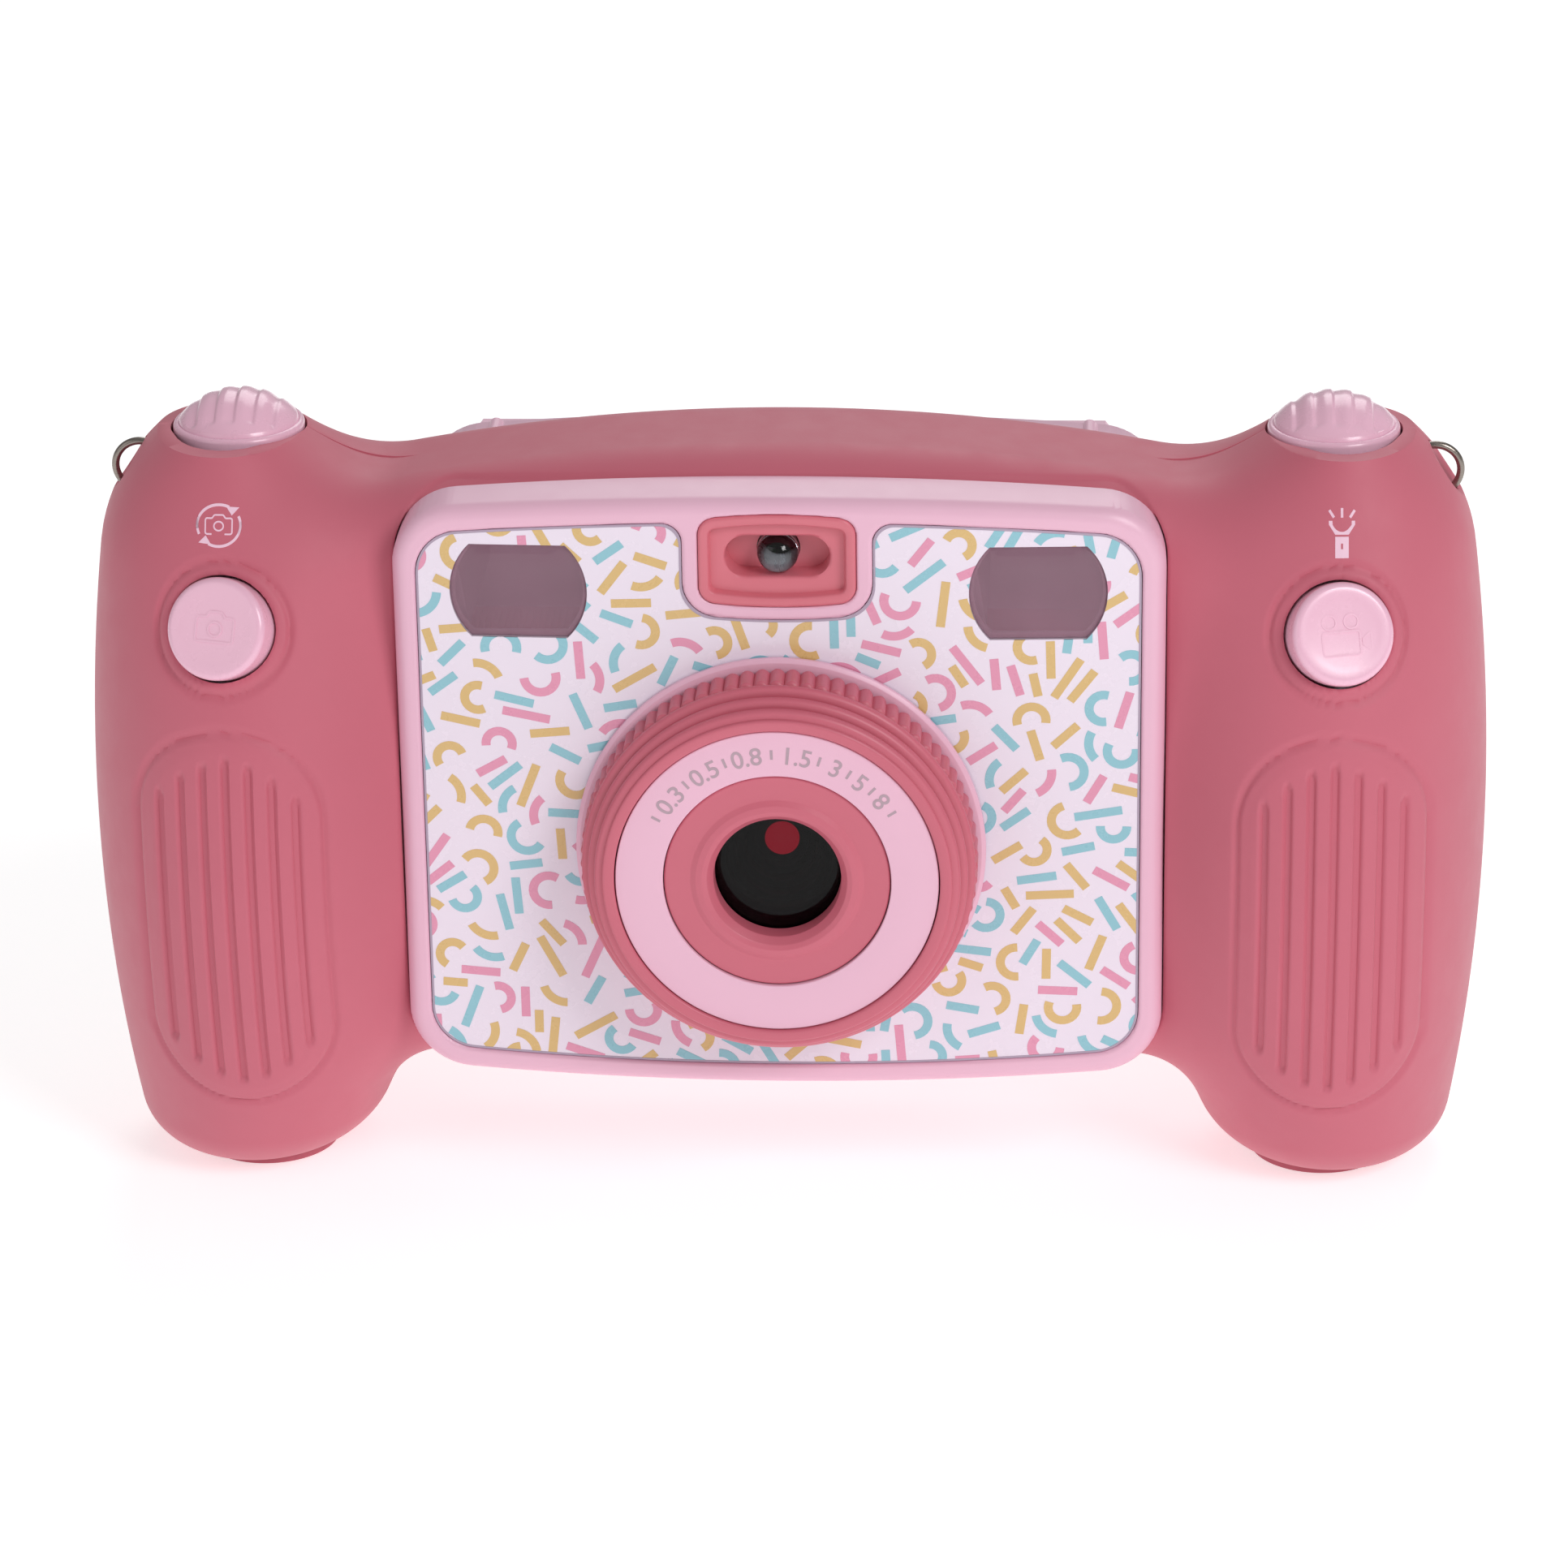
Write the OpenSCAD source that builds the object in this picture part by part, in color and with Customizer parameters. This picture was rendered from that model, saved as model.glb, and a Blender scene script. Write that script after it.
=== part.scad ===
// Twin-grip digital camera for children: two upright hand grips joined by a
// body that carries a knurled lens, a lamp, two look-through windows and, on
// the back, a screen with keys.
// Frame: X runs from the left grip to the right grip as seen from the front,
// the lens looks along -Y, Z is up, and the camera stands on the two rubber
// port covers under the grips.

/* [Overall] */
// Width over both grips
overall_w = 172; // [168:1:176]
// Distance between the axes of the two top buttons
button_pitch = 132.8; // [131.8:0.2:133.8]
// Wall level of the two case shells
wall = 2.2; // [1.8:0.1:2.4]
// Facets along the width of a case shell
shell_columns = 54; // [50:4:58]
// Facets up a case shell
shell_rows = 20; // [16:2:28]

/* [Front] */
// Width of the light front frame
bezel_w = 92.4; // [90:0.2:94]
// Height of the top edge of the front frame at its middle
bezel_top = 91.6; // [91:0.1:92.2]
// Height of the bottom edge of the front frame at its middle
bezel_bottom = 15; // [14.6:0.1:15.4]
// How far the front frame stands before the parting plane
bezel_front = 20.9; // [20.6:0.1:21.4]
// Bow radius of the front face, seen from above
face_bow_r = 756; // [600:1:1200]
// Height of the lens axis
lens_z = 46.9; // [46:0.1:48]
// Half distance between the two look-through windows
window_x = 31; // [30:0.5:31.5]
// Height of the look-through windows
window_z = 79.6; // [79:0.1:80.2]
// Height of the lamp
lamp_z = 84.1; // [83.8:0.1:84.4]

/* [Motion] */
// Travel of the top and front buttons
button_travel = 1.2; // [1.1:0.05:1.3]
// Gap between a button and the edge of its hole
button_gap = 0.3; // [0.25:0.05:0.4]
// Running clearance of the lens ring on its barrel
ring_fit = 0.07; // [0.03:0.01:0.1]

/* [Hidden] */
$fn = 64;
eps = 0.01;

// All of it is drawn about the parting plane, then moved back so that the
// origin is under the middle of the bounding box, on the ground.
rear_reach = 23.6;
lens_reach = 31.6;
centre_shift = (lens_reach - rear_reach) / 2;

half_w = overall_w / 2;
cap_x = button_pitch / 2;
// Level of the ground in the drawing, under the port covers
ground_z = -0.9;
grip_top = 93.6;
grip_bottom = ground_z + 1.25;
waist_z = 46.4;

// ---------------------------------------------------------------- shell form
// Drop of an arc of radius r at the distance t from its middle
function arc_drop(t, r) = r - sqrt(max(r * r - t * t, 0));
// Drop of a quarter-round corner that starts at t = 0
function corner(t, r) = t <= 0 ? 0 : arc_drop(min(t, r), r);

shoulder_z = 79.6;
shoulder_r = 20.8;
heel_z = ground_z + 6.6;
heel_r = 6.2;
heel_draw = 1.1;
grip_belly_z = 43.7;
grip_front_depth = 28.1;
grip_rear_depth = 20;
grip_least = 0.4;
// Outer side of the right grip at the height z
function grip_side(z) =
    half_w - pow(z - waist_z, 2) / 510 - corner(z - shoulder_z, shoulder_r) - corner(heel_z - z, heel_r);
// Middle of the grip's section
function grip_x(z) = half_w - 21.8 + 3.2 * pow((z - 48) / 46, 2);
function grip_half_w(z) = max(grip_side(z) - grip_x(z), grip_least);
// Depth of the grip before (side = -1) and behind (side = 1) the parting plane
function grip_depth(z, side) =
    let (
        front = grip_front_depth - arc_drop(z - grip_belly_z, 86.7),
        rear = grip_rear_depth - arc_drop(z - grip_belly_z, 121.5),
        heel = heel_draw * corner(heel_z - z, heel_r)
    )
    max((side < 0 ? front : rear) - heel, grip_least);

grip_floor = ground_z + 0.2;
grip_peak = 98.4;
function grip_dist(x, y, z, side) =
    let (
        h = min(max(z, grip_floor), grip_peak),
        a = grip_half_w(h),
        b = grip_depth(h, side),
        rho = norm([(abs(x) - grip_x(h)) / a, y / b])
    )
    max((rho - 1) * (a + b) / 2, grip_floor - z, z - grip_peak);

body_front = 15.5;
body_rear = 13.5;
body_round = 9.1;
body_half_len = 65;
function body_top(x) = 93.9 - x * x / 482;
function body_bottom(x) = 12.4 + x * x / 1016;
function body_dist(x, y, z, side) =
    let (
        top = body_top(x),
        bottom = body_bottom(x),
        qx = max(abs(x) - body_half_len + body_round, 0),
        qy = max(abs(y) - (side < 0 ? body_front : body_rear) + body_round, 0),
        qz = max(abs(z - (top + bottom) / 2) - (top - bottom) / 2 + body_round, 0)
    )
    norm([qx, qy, qz]) - body_round;

// The grips and the body run into each other with a fillet
blend = 9;
function blend_min(a, b) =
    let (h = max(blend - abs(a - b), 0) / blend)
    min(a, b) - h * h * blend / 4;
function case_dist(x, y, z, side) = blend_min(grip_dist(x, y, z, side), body_dist(x, y, z, side));

// Halving searches for the surface that lies level under the case's skin
function find_z(x, side, level, inside, outside, n) =
    let (mid = (inside + outside) / 2)
    n == 0 ? mid
    : case_dist(x, 0, mid, side) + level < 0 ? find_z(x, side, level, mid, outside, n - 1)
    : find_z(x, side, level, inside, mid, n - 1);
function find_y(x, z, side, level, inside, outside, n) =
    let (mid = (inside + outside) / 2)
    n == 0 ? mid
    : case_dist(x, mid, z, side) + level < 0 ? find_y(x, z, side, level, mid, outside, n - 1)
    : find_y(x, z, side, level, inside, mid, n - 1);

search_steps = 14;
deepest = 32;
// One column of skin points at x, from the bottom edge to the top edge
function skin_column(x, side, level) =
    let (
        bottom = find_z(x, side, level, waist_z, ground_z - 1, search_steps),
        top = find_z(x, side, level, waist_z, 100, search_steps)
    )
    [
        for (j = [0 : shell_rows])
            let (
                z = bottom + (top - bottom) * (1 - cos(180 * j / shell_rows)) / 2,
                y = j == 0 || j == shell_rows ? 0 : find_y(x, z, side, level, 0, deepest, search_steps)
            )
            [x, side * y, z]
    ];

// One half of the case: columns of outer skin up and inner skin down
module case_half(side) {
    reach_out = half_w - 0.06;
    reach_in = half_w - 2.02 * wall / 2.2;
    per_column = 2 * (shell_rows + 1);
    columns = [
        for (i = [0 : shell_columns])
            let (
                s = sin(180 * i / shell_columns - 90),
                outer = skin_column(reach_out * s, side, 0),
                inner = skin_column(reach_in * s, side, wall)
            )
            concat(outer, [for (j = [shell_rows : -1 : 0]) inner[j]])
    ];
    points = [for (column = columns) for (p = column) p];
    quads = [
        for (i = [0 : shell_columns - 1])
            for (j = [0 : per_column - 1])
                let (
                    k = (j + 1) % per_column,
                    a = i * per_column + j,
                    b = (i + 1) * per_column + j,
                    c = (i + 1) * per_column + k,
                    d = i * per_column + k
                )
                for (t = [[a, b, c], [a, c, d]]) t
    ];
    // Each end is a small flat outside, another inside, and a strip of the rim
    last = shell_rows;
    ends = [
        for (i = [0, shell_columns])
            let (base = i * per_column)
            for (t = concat(
                [for (j = [1 : last - 1]) [base, base + j, base + j + 1]],
                [for (j = [1 : last - 1]) [base + last + 1, base + last + 1 + j, base + last + 2 + j]],
                [[base, base + last, base + last + 1], [base, base + last + 1, base + per_column - 1]]
            )) i == 0 ? t : [t[0], t[2], t[1]]
    ];
    faces = [for (t = concat(quads, ends)) side < 0 ? [t[0], t[2], t[1]] : t];
    polyhedron(points = points, faces = faces, convexity = 8);
}

// ------------------------------------------------------------- small helpers
module place() {
    translate([0, centre_shift, -ground_z]) children();
}
// Turns +Z of the children towards the front (-Y)
module face_front() {
    rotate([90, 0, 0]) children();
}
module mirror_pair() {
    children();
    mirror([1, 0, 0]) children();
}
module side_of(s) {
    if (s < 0) mirror([1, 0, 0]) children();
    else children();
}
// Box from its low and high corners
module block(low, high) {
    translate(low) cube([high[0] - low[0], high[1] - low[1], high[2] - low[2]]);
}
// Rod along Y from y0 to y1
module rod_y(r, x, z, y0, y1, fn = 64) {
    translate([x, y1, z]) rotate([90, 0, 0]) cylinder(r = r, h = y1 - y0, $fn = fn);
}

// Outline of a rounded panel whose top and bottom edges bow outwards.
// The arcs of the corners meet the bowed edges at the edges' own slope.
corner_steps = 6;
edge_steps = 6;
function bowed_corner(w, z_edge, bow, r) =
    let (
        x_c = w - r,
        slope = atan(2 * bow * x_c / (w * w)),
        x_t = x_c + r * sin(slope),
        z_t = z_edge - bow * pow(x_t / w, 2)
    )
    [x_c, z_t - r * cos(slope), slope];
function bowed_quarter(w, z_edge, bow, r) =
    let (c = bowed_corner(w, z_edge, bow, r))
    concat(
        [
            for (i = [0 : corner_steps])
                let (a = (90 - c[2]) * i / corner_steps)
                [c[0] + r * cos(a), c[1] + r * sin(a)]
        ],
        [
            for (i = [edge_steps - 1 : -1 : 0])
                let (x = (c[0] + r * sin(c[2])) * i / edge_steps)
                [x, z_edge - bow * pow(x / w, 2)]
        ]
    );
function reversed(list) = [for (i = [len(list) - 1 : -1 : 0]) list[i]];
// The outline runs up the right half and back down the left half
function bowed_outline(w, z_top, z_bottom, bow_top, bow_bottom, r) =
    let (
        up = bowed_quarter(w, z_top, bow_top, r),
        down = [for (p = bowed_quarter(w, -z_bottom, bow_bottom, r)) [p[0], -p[1]]],
        right = concat(reversed(down), up),
        left = [for (p = reversed(right)) if (p[0] > eps) [-p[0], p[1]]]
    )
    concat(right, left);
// The panel itself, between y0 and y1
module bowed_panel(w, z_top, z_bottom, bow_top, bow_bottom, r, y0, y1) {
    translate([0, y1, 0]) rotate([90, 0, 0]) linear_extrude(height = y1 - y0)
        polygon(bowed_outline(w, z_top, z_bottom, bow_top, bow_bottom, r));
}
// Everything behind the bowed front face, sunk by depth. The bow is an arc of
// narrow upright strips.
bow_half_angle = 4;
bow_strips = 24;
module behind_face(depth) {
    r = face_bow_r - depth;
    translate([0, 0, -10]) linear_extrude(height = 130)
        polygon(concat(
            [
                for (i = [0 : bow_strips])
                    let (a = bow_half_angle * (2 * i / bow_strips - 1))
                    [r * sin(a), face_bow_r - bezel_front - r * cos(a)]
            ],
            [[60, 10], [-60, 10]]
        ));
}
// Round window with flat top and bottom
module window_bar(x, r, h, y0, y1) {
    intersection() {
        rod_y(r, x, window_z, y0, y1);
        block([x - r - 1, y0 - 1, window_z - h / 2], [x + r + 1, y1 + 1, window_z + h / 2]);
    }
}
// Rounded bar with straight sides, for slots and inserts
module rounded_bar(w, h, r, x, z, y0, y1) {
    block([x - w / 2, y0, z - h / 2 + r], [x + w / 2, y1, z + h / 2 - r]);
    block([x - w / 2 + r, y0, z - h / 2], [x + w / 2 - r, y1, z + h / 2]);
    for (dx = [-1, 1]) for (dz = [-1, 1])
        rod_y(r, x + dx * (w / 2 - r), z + dz * (h / 2 - r), y0, y1, 32);
}

// ---------------------------------------------------------- shared positions
bezel_half = bezel_w / 2;
bezel_bow = 2;
bezel_bow_low = 1.8;
bezel_corner = 8;
bezel_seat = 12.45;
plate_half = bezel_half - 2.85;
plate_top = bezel_top - 2.9;
plate_bottom = bezel_bottom + 2.8;
plate_corner = 5.6;
plate_sink = 0.35;
plate_t = 1;
floor_back = 18.3;
tray_floor = plate_sink + plate_t + 0.05;

window_r = 8.2;
window_h = 11.7;
tube_w = 18.4;
tube_h = 13.4;

tab_w = 22.6;
tab_bottom = 76.4;
tab_bow = 0.7;
tab_corner = 4.4;
insert_w = 18.8;
insert_h = 11.7;
insert_z = 83.85;
insert_bow = 0.65;
insert_corner = 2.2;
insert_fit = 0.05;
insert_lip = 1.3;
// The outline of the lamp's insert, larger by grow on every side
module insert_bar(grow, y0, y1) {
    bowed_panel(insert_w / 2 + grow, insert_z + insert_h / 2 + grow, insert_z - insert_h / 2 - grow,
        insert_bow, insert_bow, insert_corner + grow, y0, y1);
}

frame_half = 46;
frame_top = 88.2;
frame_bottom = 17;
frame_face = 20.5;
frame_floor = 18.6;
frame_rim = 2.6;
frame_gap = 0.15;

screen_x = -13.5;
screen_z = 45;
nav_x = 29;
nav_z = 49;
nav_r = 7;
low_key_z = 30;
low_key_dx = 5.6;
arrow_r = 2.5;
ok_r = 2.8;
low_key_r = 2.6;
key_travel = 0.6;
// Gap left between a stem and its switch at the end of the travel
stop_gap = 0.3;
key_stem_y = 17.4;
top_stem_z = 84.6;
front_skirt = 5.2;
front_stem = 8;

barrel_r = 19.4;
front_button_r = 6.2;
front_button_x = 66.9;
front_button_z = 75.4;
front_button_yaw = 14;
front_button_pitch = 22;
front_button_y = -find_y(front_button_x, front_button_z, -1, 0, 0, deepest, search_steps);
top_cap_r = 8;
speaker_z = 38;
case_screw_x = 55;
case_screw_zs = [21, 81];
board_screw_x = 38;
board_screw_zs = [22, 66];

// Local frame of the right front button: +Z points out along its axis
module front_button_frame() {
    translate([front_button_x, front_button_y, front_button_z])
        rotate([0, 0, front_button_yaw]) rotate([90 - front_button_pitch, 0, 0])
            children();
}
// Local frame of the right strap loop: +X points outwards
strap_tilt = 30;
wire_r = 0.47;
wire_bend_r = 3.1;
wire_leg = 1.9;
dish_r = 8;
module strap_frame() {
    translate([78.7, 0, 88.3]) rotate([0, -strap_tilt, 0]) children();
}
// Rods along the local X axis at the two legs of the wire loop
module strap_legs(r, x0, x1) {
    for (dz = [-wire_bend_r, wire_bend_r])
        translate([x0, 0, dz]) rotate([0, 90, 0]) cylinder(r = r, h = x1 - x0, $fn = 24);
}
module strap_wire() {
    rotate([90, 0, 0]) rotate([0, 0, -90]) rotate_extrude(angle = 180)
        translate([wire_bend_r, 0]) circle(r = wire_r, $fn = 24);
    strap_legs(wire_r, -wire_leg, eps);
}

// --------------------------------------------------------------- case shells
module button_holes() {
    mirror_pair() {
        translate([cap_x, 0, 87.5]) cylinder(r = top_cap_r + button_gap, h = 20);
        front_button_frame() translate([0, 0, -7]) cylinder(r = front_button_r + button_gap, h = 20);
    }
}
module grip_trims() {
    mirror_pair() {
        translate([cap_x, 0, grip_top]) cylinder(r = 13, h = 10, $fn = 48);
        translate([cap_x, 0, grip_bottom - 10]) cylinder(r = 22, h = 10, $fn = 48);
        strap_frame() translate([dish_r + 0.35, 0, 0]) sphere(r = dish_r, $fn = 48);
        strap_frame() strap_legs(wire_r + 0.08, -8, 2);
        port_mouth();
    }
}
port_w = 11;
port_d = 5.6;
module port_mouth() {
    translate([cap_x - port_w / 2, -port_d / 2, ground_z - 1]) cube([port_w, port_d, 8]);
}
// Screw posts from the middle of the wall to the parting plane
module case_posts(side) {
    mirror_pair() for (z = case_screw_zs) {
        root = side * find_y(case_screw_x, z, side, wall / 2, 0, deepest, search_steps);
        rod_y(3.1, case_screw_x, z, min(root, side * 0.05), max(root, side * 0.05), 32);
    }
}

module tube_holes(y0, y1) {
    w = tube_w / 2 + 0.4;
    h = tube_h / 2 + 0.4;
    for (s = [-1, 1])
        block([s * window_x - w, y0, window_z - h], [s * window_x + w, y1, window_z + h]);
}

// Wall that the front frame sits on, tied into the sides of the case
seat_t = 1.3;
seat_inset = 2.2;
seat_tie = 2.5;
seat_tie_low = 26;
seat_tie_high = 78;
module seat_wall() {
    back = -bezel_seat + seat_t;
    bowed_panel(bezel_half - seat_inset, bezel_top - seat_inset, bezel_bottom + seat_inset,
        bezel_bow, bezel_bow_low, bezel_corner - seat_inset, -bezel_seat, back);
    mirror_pair()
        block([bezel_half - seat_inset - 1, -body_front + 0.3, seat_tie_low],
            [bezel_half + seat_tie, back, seat_tie_high]);
}

module front_shell() {
    color("#cf7083") place() difference() {
        union() {
            case_half(-1);
            case_posts(-1);
            seat_wall();
            mirror_pair() for (z = board_screw_zs)
                rod_y(2.4, board_screw_x, z, -bezel_seat + 0.5, 0.95, 32);
        }
        bowed_panel(bezel_half + frame_gap, bezel_top + frame_gap, bezel_bottom - frame_gap,
            bezel_bow, bezel_bow_low, bezel_corner, -30, -bezel_seat);
        button_holes();
        grip_trims();
        rod_y(20, 0, lens_z, -20, -5);
        tube_holes(-20, -5);
        block([-9, -20, lamp_z - 5], [9, -5, lamp_z + 5]);
        mirror_pair() {
            for (z = case_screw_zs) rod_y(1.25, case_screw_x, z, -9, 5, 24);
            for (z = board_screw_zs) rod_y(0.95, board_screw_x, z, -7, 5, 24);
        }
    }
}

module rear_shell() {
    color("#cf7083") place() difference() {
        union() {
            case_half(1);
            case_posts(1);
        }
        bowed_panel(frame_half + frame_gap, frame_top + frame_gap, frame_bottom - frame_gap,
            bezel_bow, bezel_bow_low, bezel_corner, bezel_seat, 30);
        mirror_pair() translate([cap_x, 0, 87.5]) cylinder(r = top_cap_r + button_gap, h = 20);
        grip_trims();
        block([-41, 5, 20.4], [41, 20, 68]);
        tube_holes(5, 20);
        block([-5.6, 5, window_z - 5.6], [5.6, 20, window_z + 5.6]);
        mirror_pair() for (z = case_screw_zs) {
            rod_y(1.4, case_screw_x, z, -1, 20, 24);
            rod_y(2.7, case_screw_x, z, 9, 30, 32);
        }
        for (i = [0 : 6]) {
            r = i == 0 ? 0 : 4;
            rod_y(0.85, cap_x + r * cos(60 * i), speaker_z + r * sin(60 * i), 12, 25, 24);
        }
    }
}

// --------------------------------------------------------------- front panel
module tab_solid(grow, y0, y1) {
    bowed_panel(tab_w / 2 + grow, 110, tab_bottom - grow, 0, tab_bow, tab_corner, y0, y1);
}
module plate_solid(shrink, y0, y1) {
    difference() {
        bowed_panel(plate_half - shrink, plate_top - shrink, plate_bottom + shrink,
            bezel_bow, bezel_bow_low, plate_corner, y0, y1);
        tab_solid(shrink, y0 - 1, y1 + 1);
    }
}

module front_bezel() {
    color("#e3b8cc") place() difference() {
        intersection() {
            bowed_panel(bezel_half, bezel_top, bezel_bottom, bezel_bow, bezel_bow_low, bezel_corner,
                -23, -bezel_seat);
            behind_face(0);
        }
        difference() {
            plate_solid(0, -24, -15);
            behind_face(tray_floor);
        }
        bowed_panel(plate_half, plate_top, plate_bottom, bezel_bow, bezel_bow_low, plate_corner,
            -floor_back, -5);
        rod_y(barrel_r + 0.15, 0, lens_z, -24, -5);
        for (s = [-1, 1]) window_bar(s * window_x, window_r - 0.5, window_h - 1, -24, -5);
        insert_bar(insert_fit, -24, -5);
    }
}

module face_plate() {
    color("#e6dae9") place() difference() {
        intersection() {
            plate_solid(0.1, -24, -15);
            behind_face(plate_sink);
        }
        behind_face(plate_sink + plate_t);
        rod_y(barrel_r + 0.3, 0, lens_z, -24, -5);
        for (s = [-1, 1]) window_bar(s * window_x, window_r + 0.05, window_h + 0.1, -24, -5);
    }
}

// The panes sit in the plate, on the lip of the bezel's floor
pane_sink = 0.6;
module window_pane(s) {
    color("#91697b") place() difference() {
        intersection() {
            window_bar(s * window_x, window_r, window_h, -24, -15);
            behind_face(pane_sink);
        }
        behind_face(tray_floor - 0.02);
    }
}
module window_left() { window_pane(-1); }
module window_right() { window_pane(1); }

module viewfinder_tube(s) {
    x = s * window_x;
    color("#5d3d4a") place() difference() {
        block([x - tube_w / 2, -floor_back + 0.05, window_z - tube_h / 2],
            [x + tube_w / 2, bezel_seat - 0.1, window_z + tube_h / 2]);
        block([x - tube_w / 2 + 1, -30, window_z - tube_h / 2 + 1],
            [x + tube_w / 2 - 1, 30, window_z + tube_h / 2 - 1]);
    }
}
module viewfinder_tube_left() { viewfinder_tube(-1); }
module viewfinder_tube_right() { viewfinder_tube(1); }

module eyepiece(s) {
    color("#c9d4da") place() window_bar(s * window_x, window_r - 0.1, window_h - 0.2, 19.3, 20.4);
}
module eyepiece_left() { eyepiece(-1); }
module eyepiece_right() { eyepiece(1); }

// ---------------------------------------------------------------------- lamp
module flash_insert() {
    color("#cf6880") place() difference() {
        insert_bar(0, -bezel_front - 0.05, -15);
        insert_bar(-insert_lip, -30, -bezel_front + 1.1);
        rounded_bar(12.5, 5.1, 2.5, 0, lamp_z, -30, -16.6);
        rod_y(2.6, 0, lamp_z, -30, -5, 32);
        rod_y(3.1, 0, lamp_z, -15.8, -5, 32);
    }
}
module flash_led() {
    color("#e8eef2") place() union() {
        rod_y(2.5, 0, lamp_z, -18.1, -15.6, 48);
        translate([0, -18.1, lamp_z]) sphere(r = 2.5, $fn = 48);
        rod_y(2.9, 0, lamp_z, -15.75, -14.7, 48);
        for (s = [-1, 1]) rod_y(0.25, s * 1.27, lamp_z, -14.8, -10.95, 16);
    }
}
module flash_board() {
    color("#2f6b3c") place() difference() {
        block([-8, -10.9, lamp_z - 4], [8, -9.9, lamp_z + 4]);
        for (s = [-1, 1]) rod_y(0.4, s * 1.27, lamp_z, -12, -9, 16);
    }
}

// ---------------------------------------------------------------------- lens
// Turned pieces are drawn as [radius, height towards the front]
module turned(points) {
    translate([0, 0, lens_z]) face_front() rotate_extrude($fn = 128) polygon(points);
}
module turned_bead(r, h, bead) {
    translate([0, 0, lens_z]) face_front() rotate_extrude($fn = 128)
        translate([r, h]) circle(r = bead, $fn = 32);
}

module lens_flange() {
    color("#e6bccf") place()
        turned([
            [barrel_r + 0.3, bezel_front - 0.2], [24.8, bezel_front - 0.2], [24.8, bezel_front + 0.4],
            [24.3, bezel_front + 0.75], [barrel_r + 0.3, bezel_front + 0.75]
        ]);
}

barrel_front = 29.95;
module lens_barrel() {
    color("#3a3338") place() turned([
        [16.4, 12.6], [23, 17.0], [23, 18.2], [barrel_r, 18.2],
        [barrel_r, 23.2], [barrel_r + 0.55, 23.45], [barrel_r + 0.55, 23.85], [barrel_r, 24.1],
        [barrel_r, barrel_front], [13.2, barrel_front], [13.2, 28.6], [16.4, 28.6]
    ]);
}

flute_count = 80;
knurl_r = 23.9;
flute_depth = 0.55;
knurl_low = bezel_front + 1.1;
knurl_high = 26.3;
ring_bore = barrel_r + ring_fit;
rim_r = 20.95;
bead_r = 0.75;
module lens_ring() {
    color("#cf7083") place() difference() {
        union() {
            translate([0, -knurl_low, lens_z]) face_front()
                linear_extrude(height = knurl_high - knurl_low)
                    polygon([
                        for (i = [0 : 3 * flute_count - 1])
                            let (
                                a = 120 * i / flute_count,
                                r = i % 3 == 0 ? knurl_r - flute_depth : knurl_r
                            )
                            [r * cos(a), r * sin(a)]
                    ]);
            turned([
                [18, 23], [23.3, 23], [23.3, 26.8], [rim_r, 30.6],
                [rim_r, 31.25], [20.65, lens_reach], [18, lens_reach]
            ]);
            turned_bead(22.9, 27.1, bead_r);
            turned_bead(22.05, 28.75, bead_r);
            turned_bead(21.2, 30.25, bead_r);
        }
        translate([0, 0, lens_z]) face_front() cylinder(r = ring_bore, h = 60, $fn = 128);
        turned([[18, 22.9], [barrel_r + 0.95, 22.9], [barrel_r + 0.95, 24.4], [18, 24.4]]);
    }
}

module lens_face_ring() {
    color("#e9bed1") place()
        turned([
            [13.65, barrel_front + 0.02], [barrel_r - 0.05, barrel_front + 0.02], [barrel_r - 0.05, 31.1],
            [barrel_r - 0.2, 31.25], [13.75, 31.25], [13.65, 31.15]
        ]);
}
module lens_cone() {
    color("#cf6f84") place() {
        turned([
            [7.6, 27.5], [9.6, 27.5], [9.6, 25.6], [12.9, 25.6],
            [12.9, barrel_front + 0.1], [13.55, barrel_front + 0.1], [13.55, 30.9],
            [9.8, 30.65], [9.3, 31.1], [8.9, 31.2], [8.3, 30.95], [7.6, 30.25]
        ]);
    }
}
module lens_glass() {
    color("#0b0a0c") place() turned([[0, 25.6], [9.5, 25.6], [9.5, 27], [7.2, 27.4], [0, 27.8]]);
}
module camera_module() {
    color("#2a2d31") place() union() {
        block([-11, -10.8, lens_z - 11], [11, -9.8, lens_z + 11]);
        block([-7, -15.8, lens_z - 7], [7, -10.8, lens_z + 7]);
        rod_y(5, 0, lens_z, -24.4, -15.8, 48);
        rod_y(4.2, 0, lens_z, -25, -24.4, 48);
    }
}

// ----------------------------------------------------------------- main board
module main_board() {
    color("#2f6b3c") place() difference() {
        block([-42, 1, 18.5], [42, 2.2, 69.5]);
        mirror_pair() for (z = board_screw_zs) rod_y(1.25, board_screw_x, z, 0, 4, 24);
    }
}
module board_chips() {
    color("#25262a") place() {
        block([-8, -0.4, 40], [6, 1, 54]);
        block([12, 0, 44], [22, 1, 52]);
        block([-26, 0.1, 44], [-16, 1, 51]);
        for (i = [0 : 4]) block([-20 + 9 * i, -0.3, 30], [-16.5 + 9 * i, 1, 32.5]);
        block([26, -1.6, 26], [32, 1, 34]);
    }
}

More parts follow.
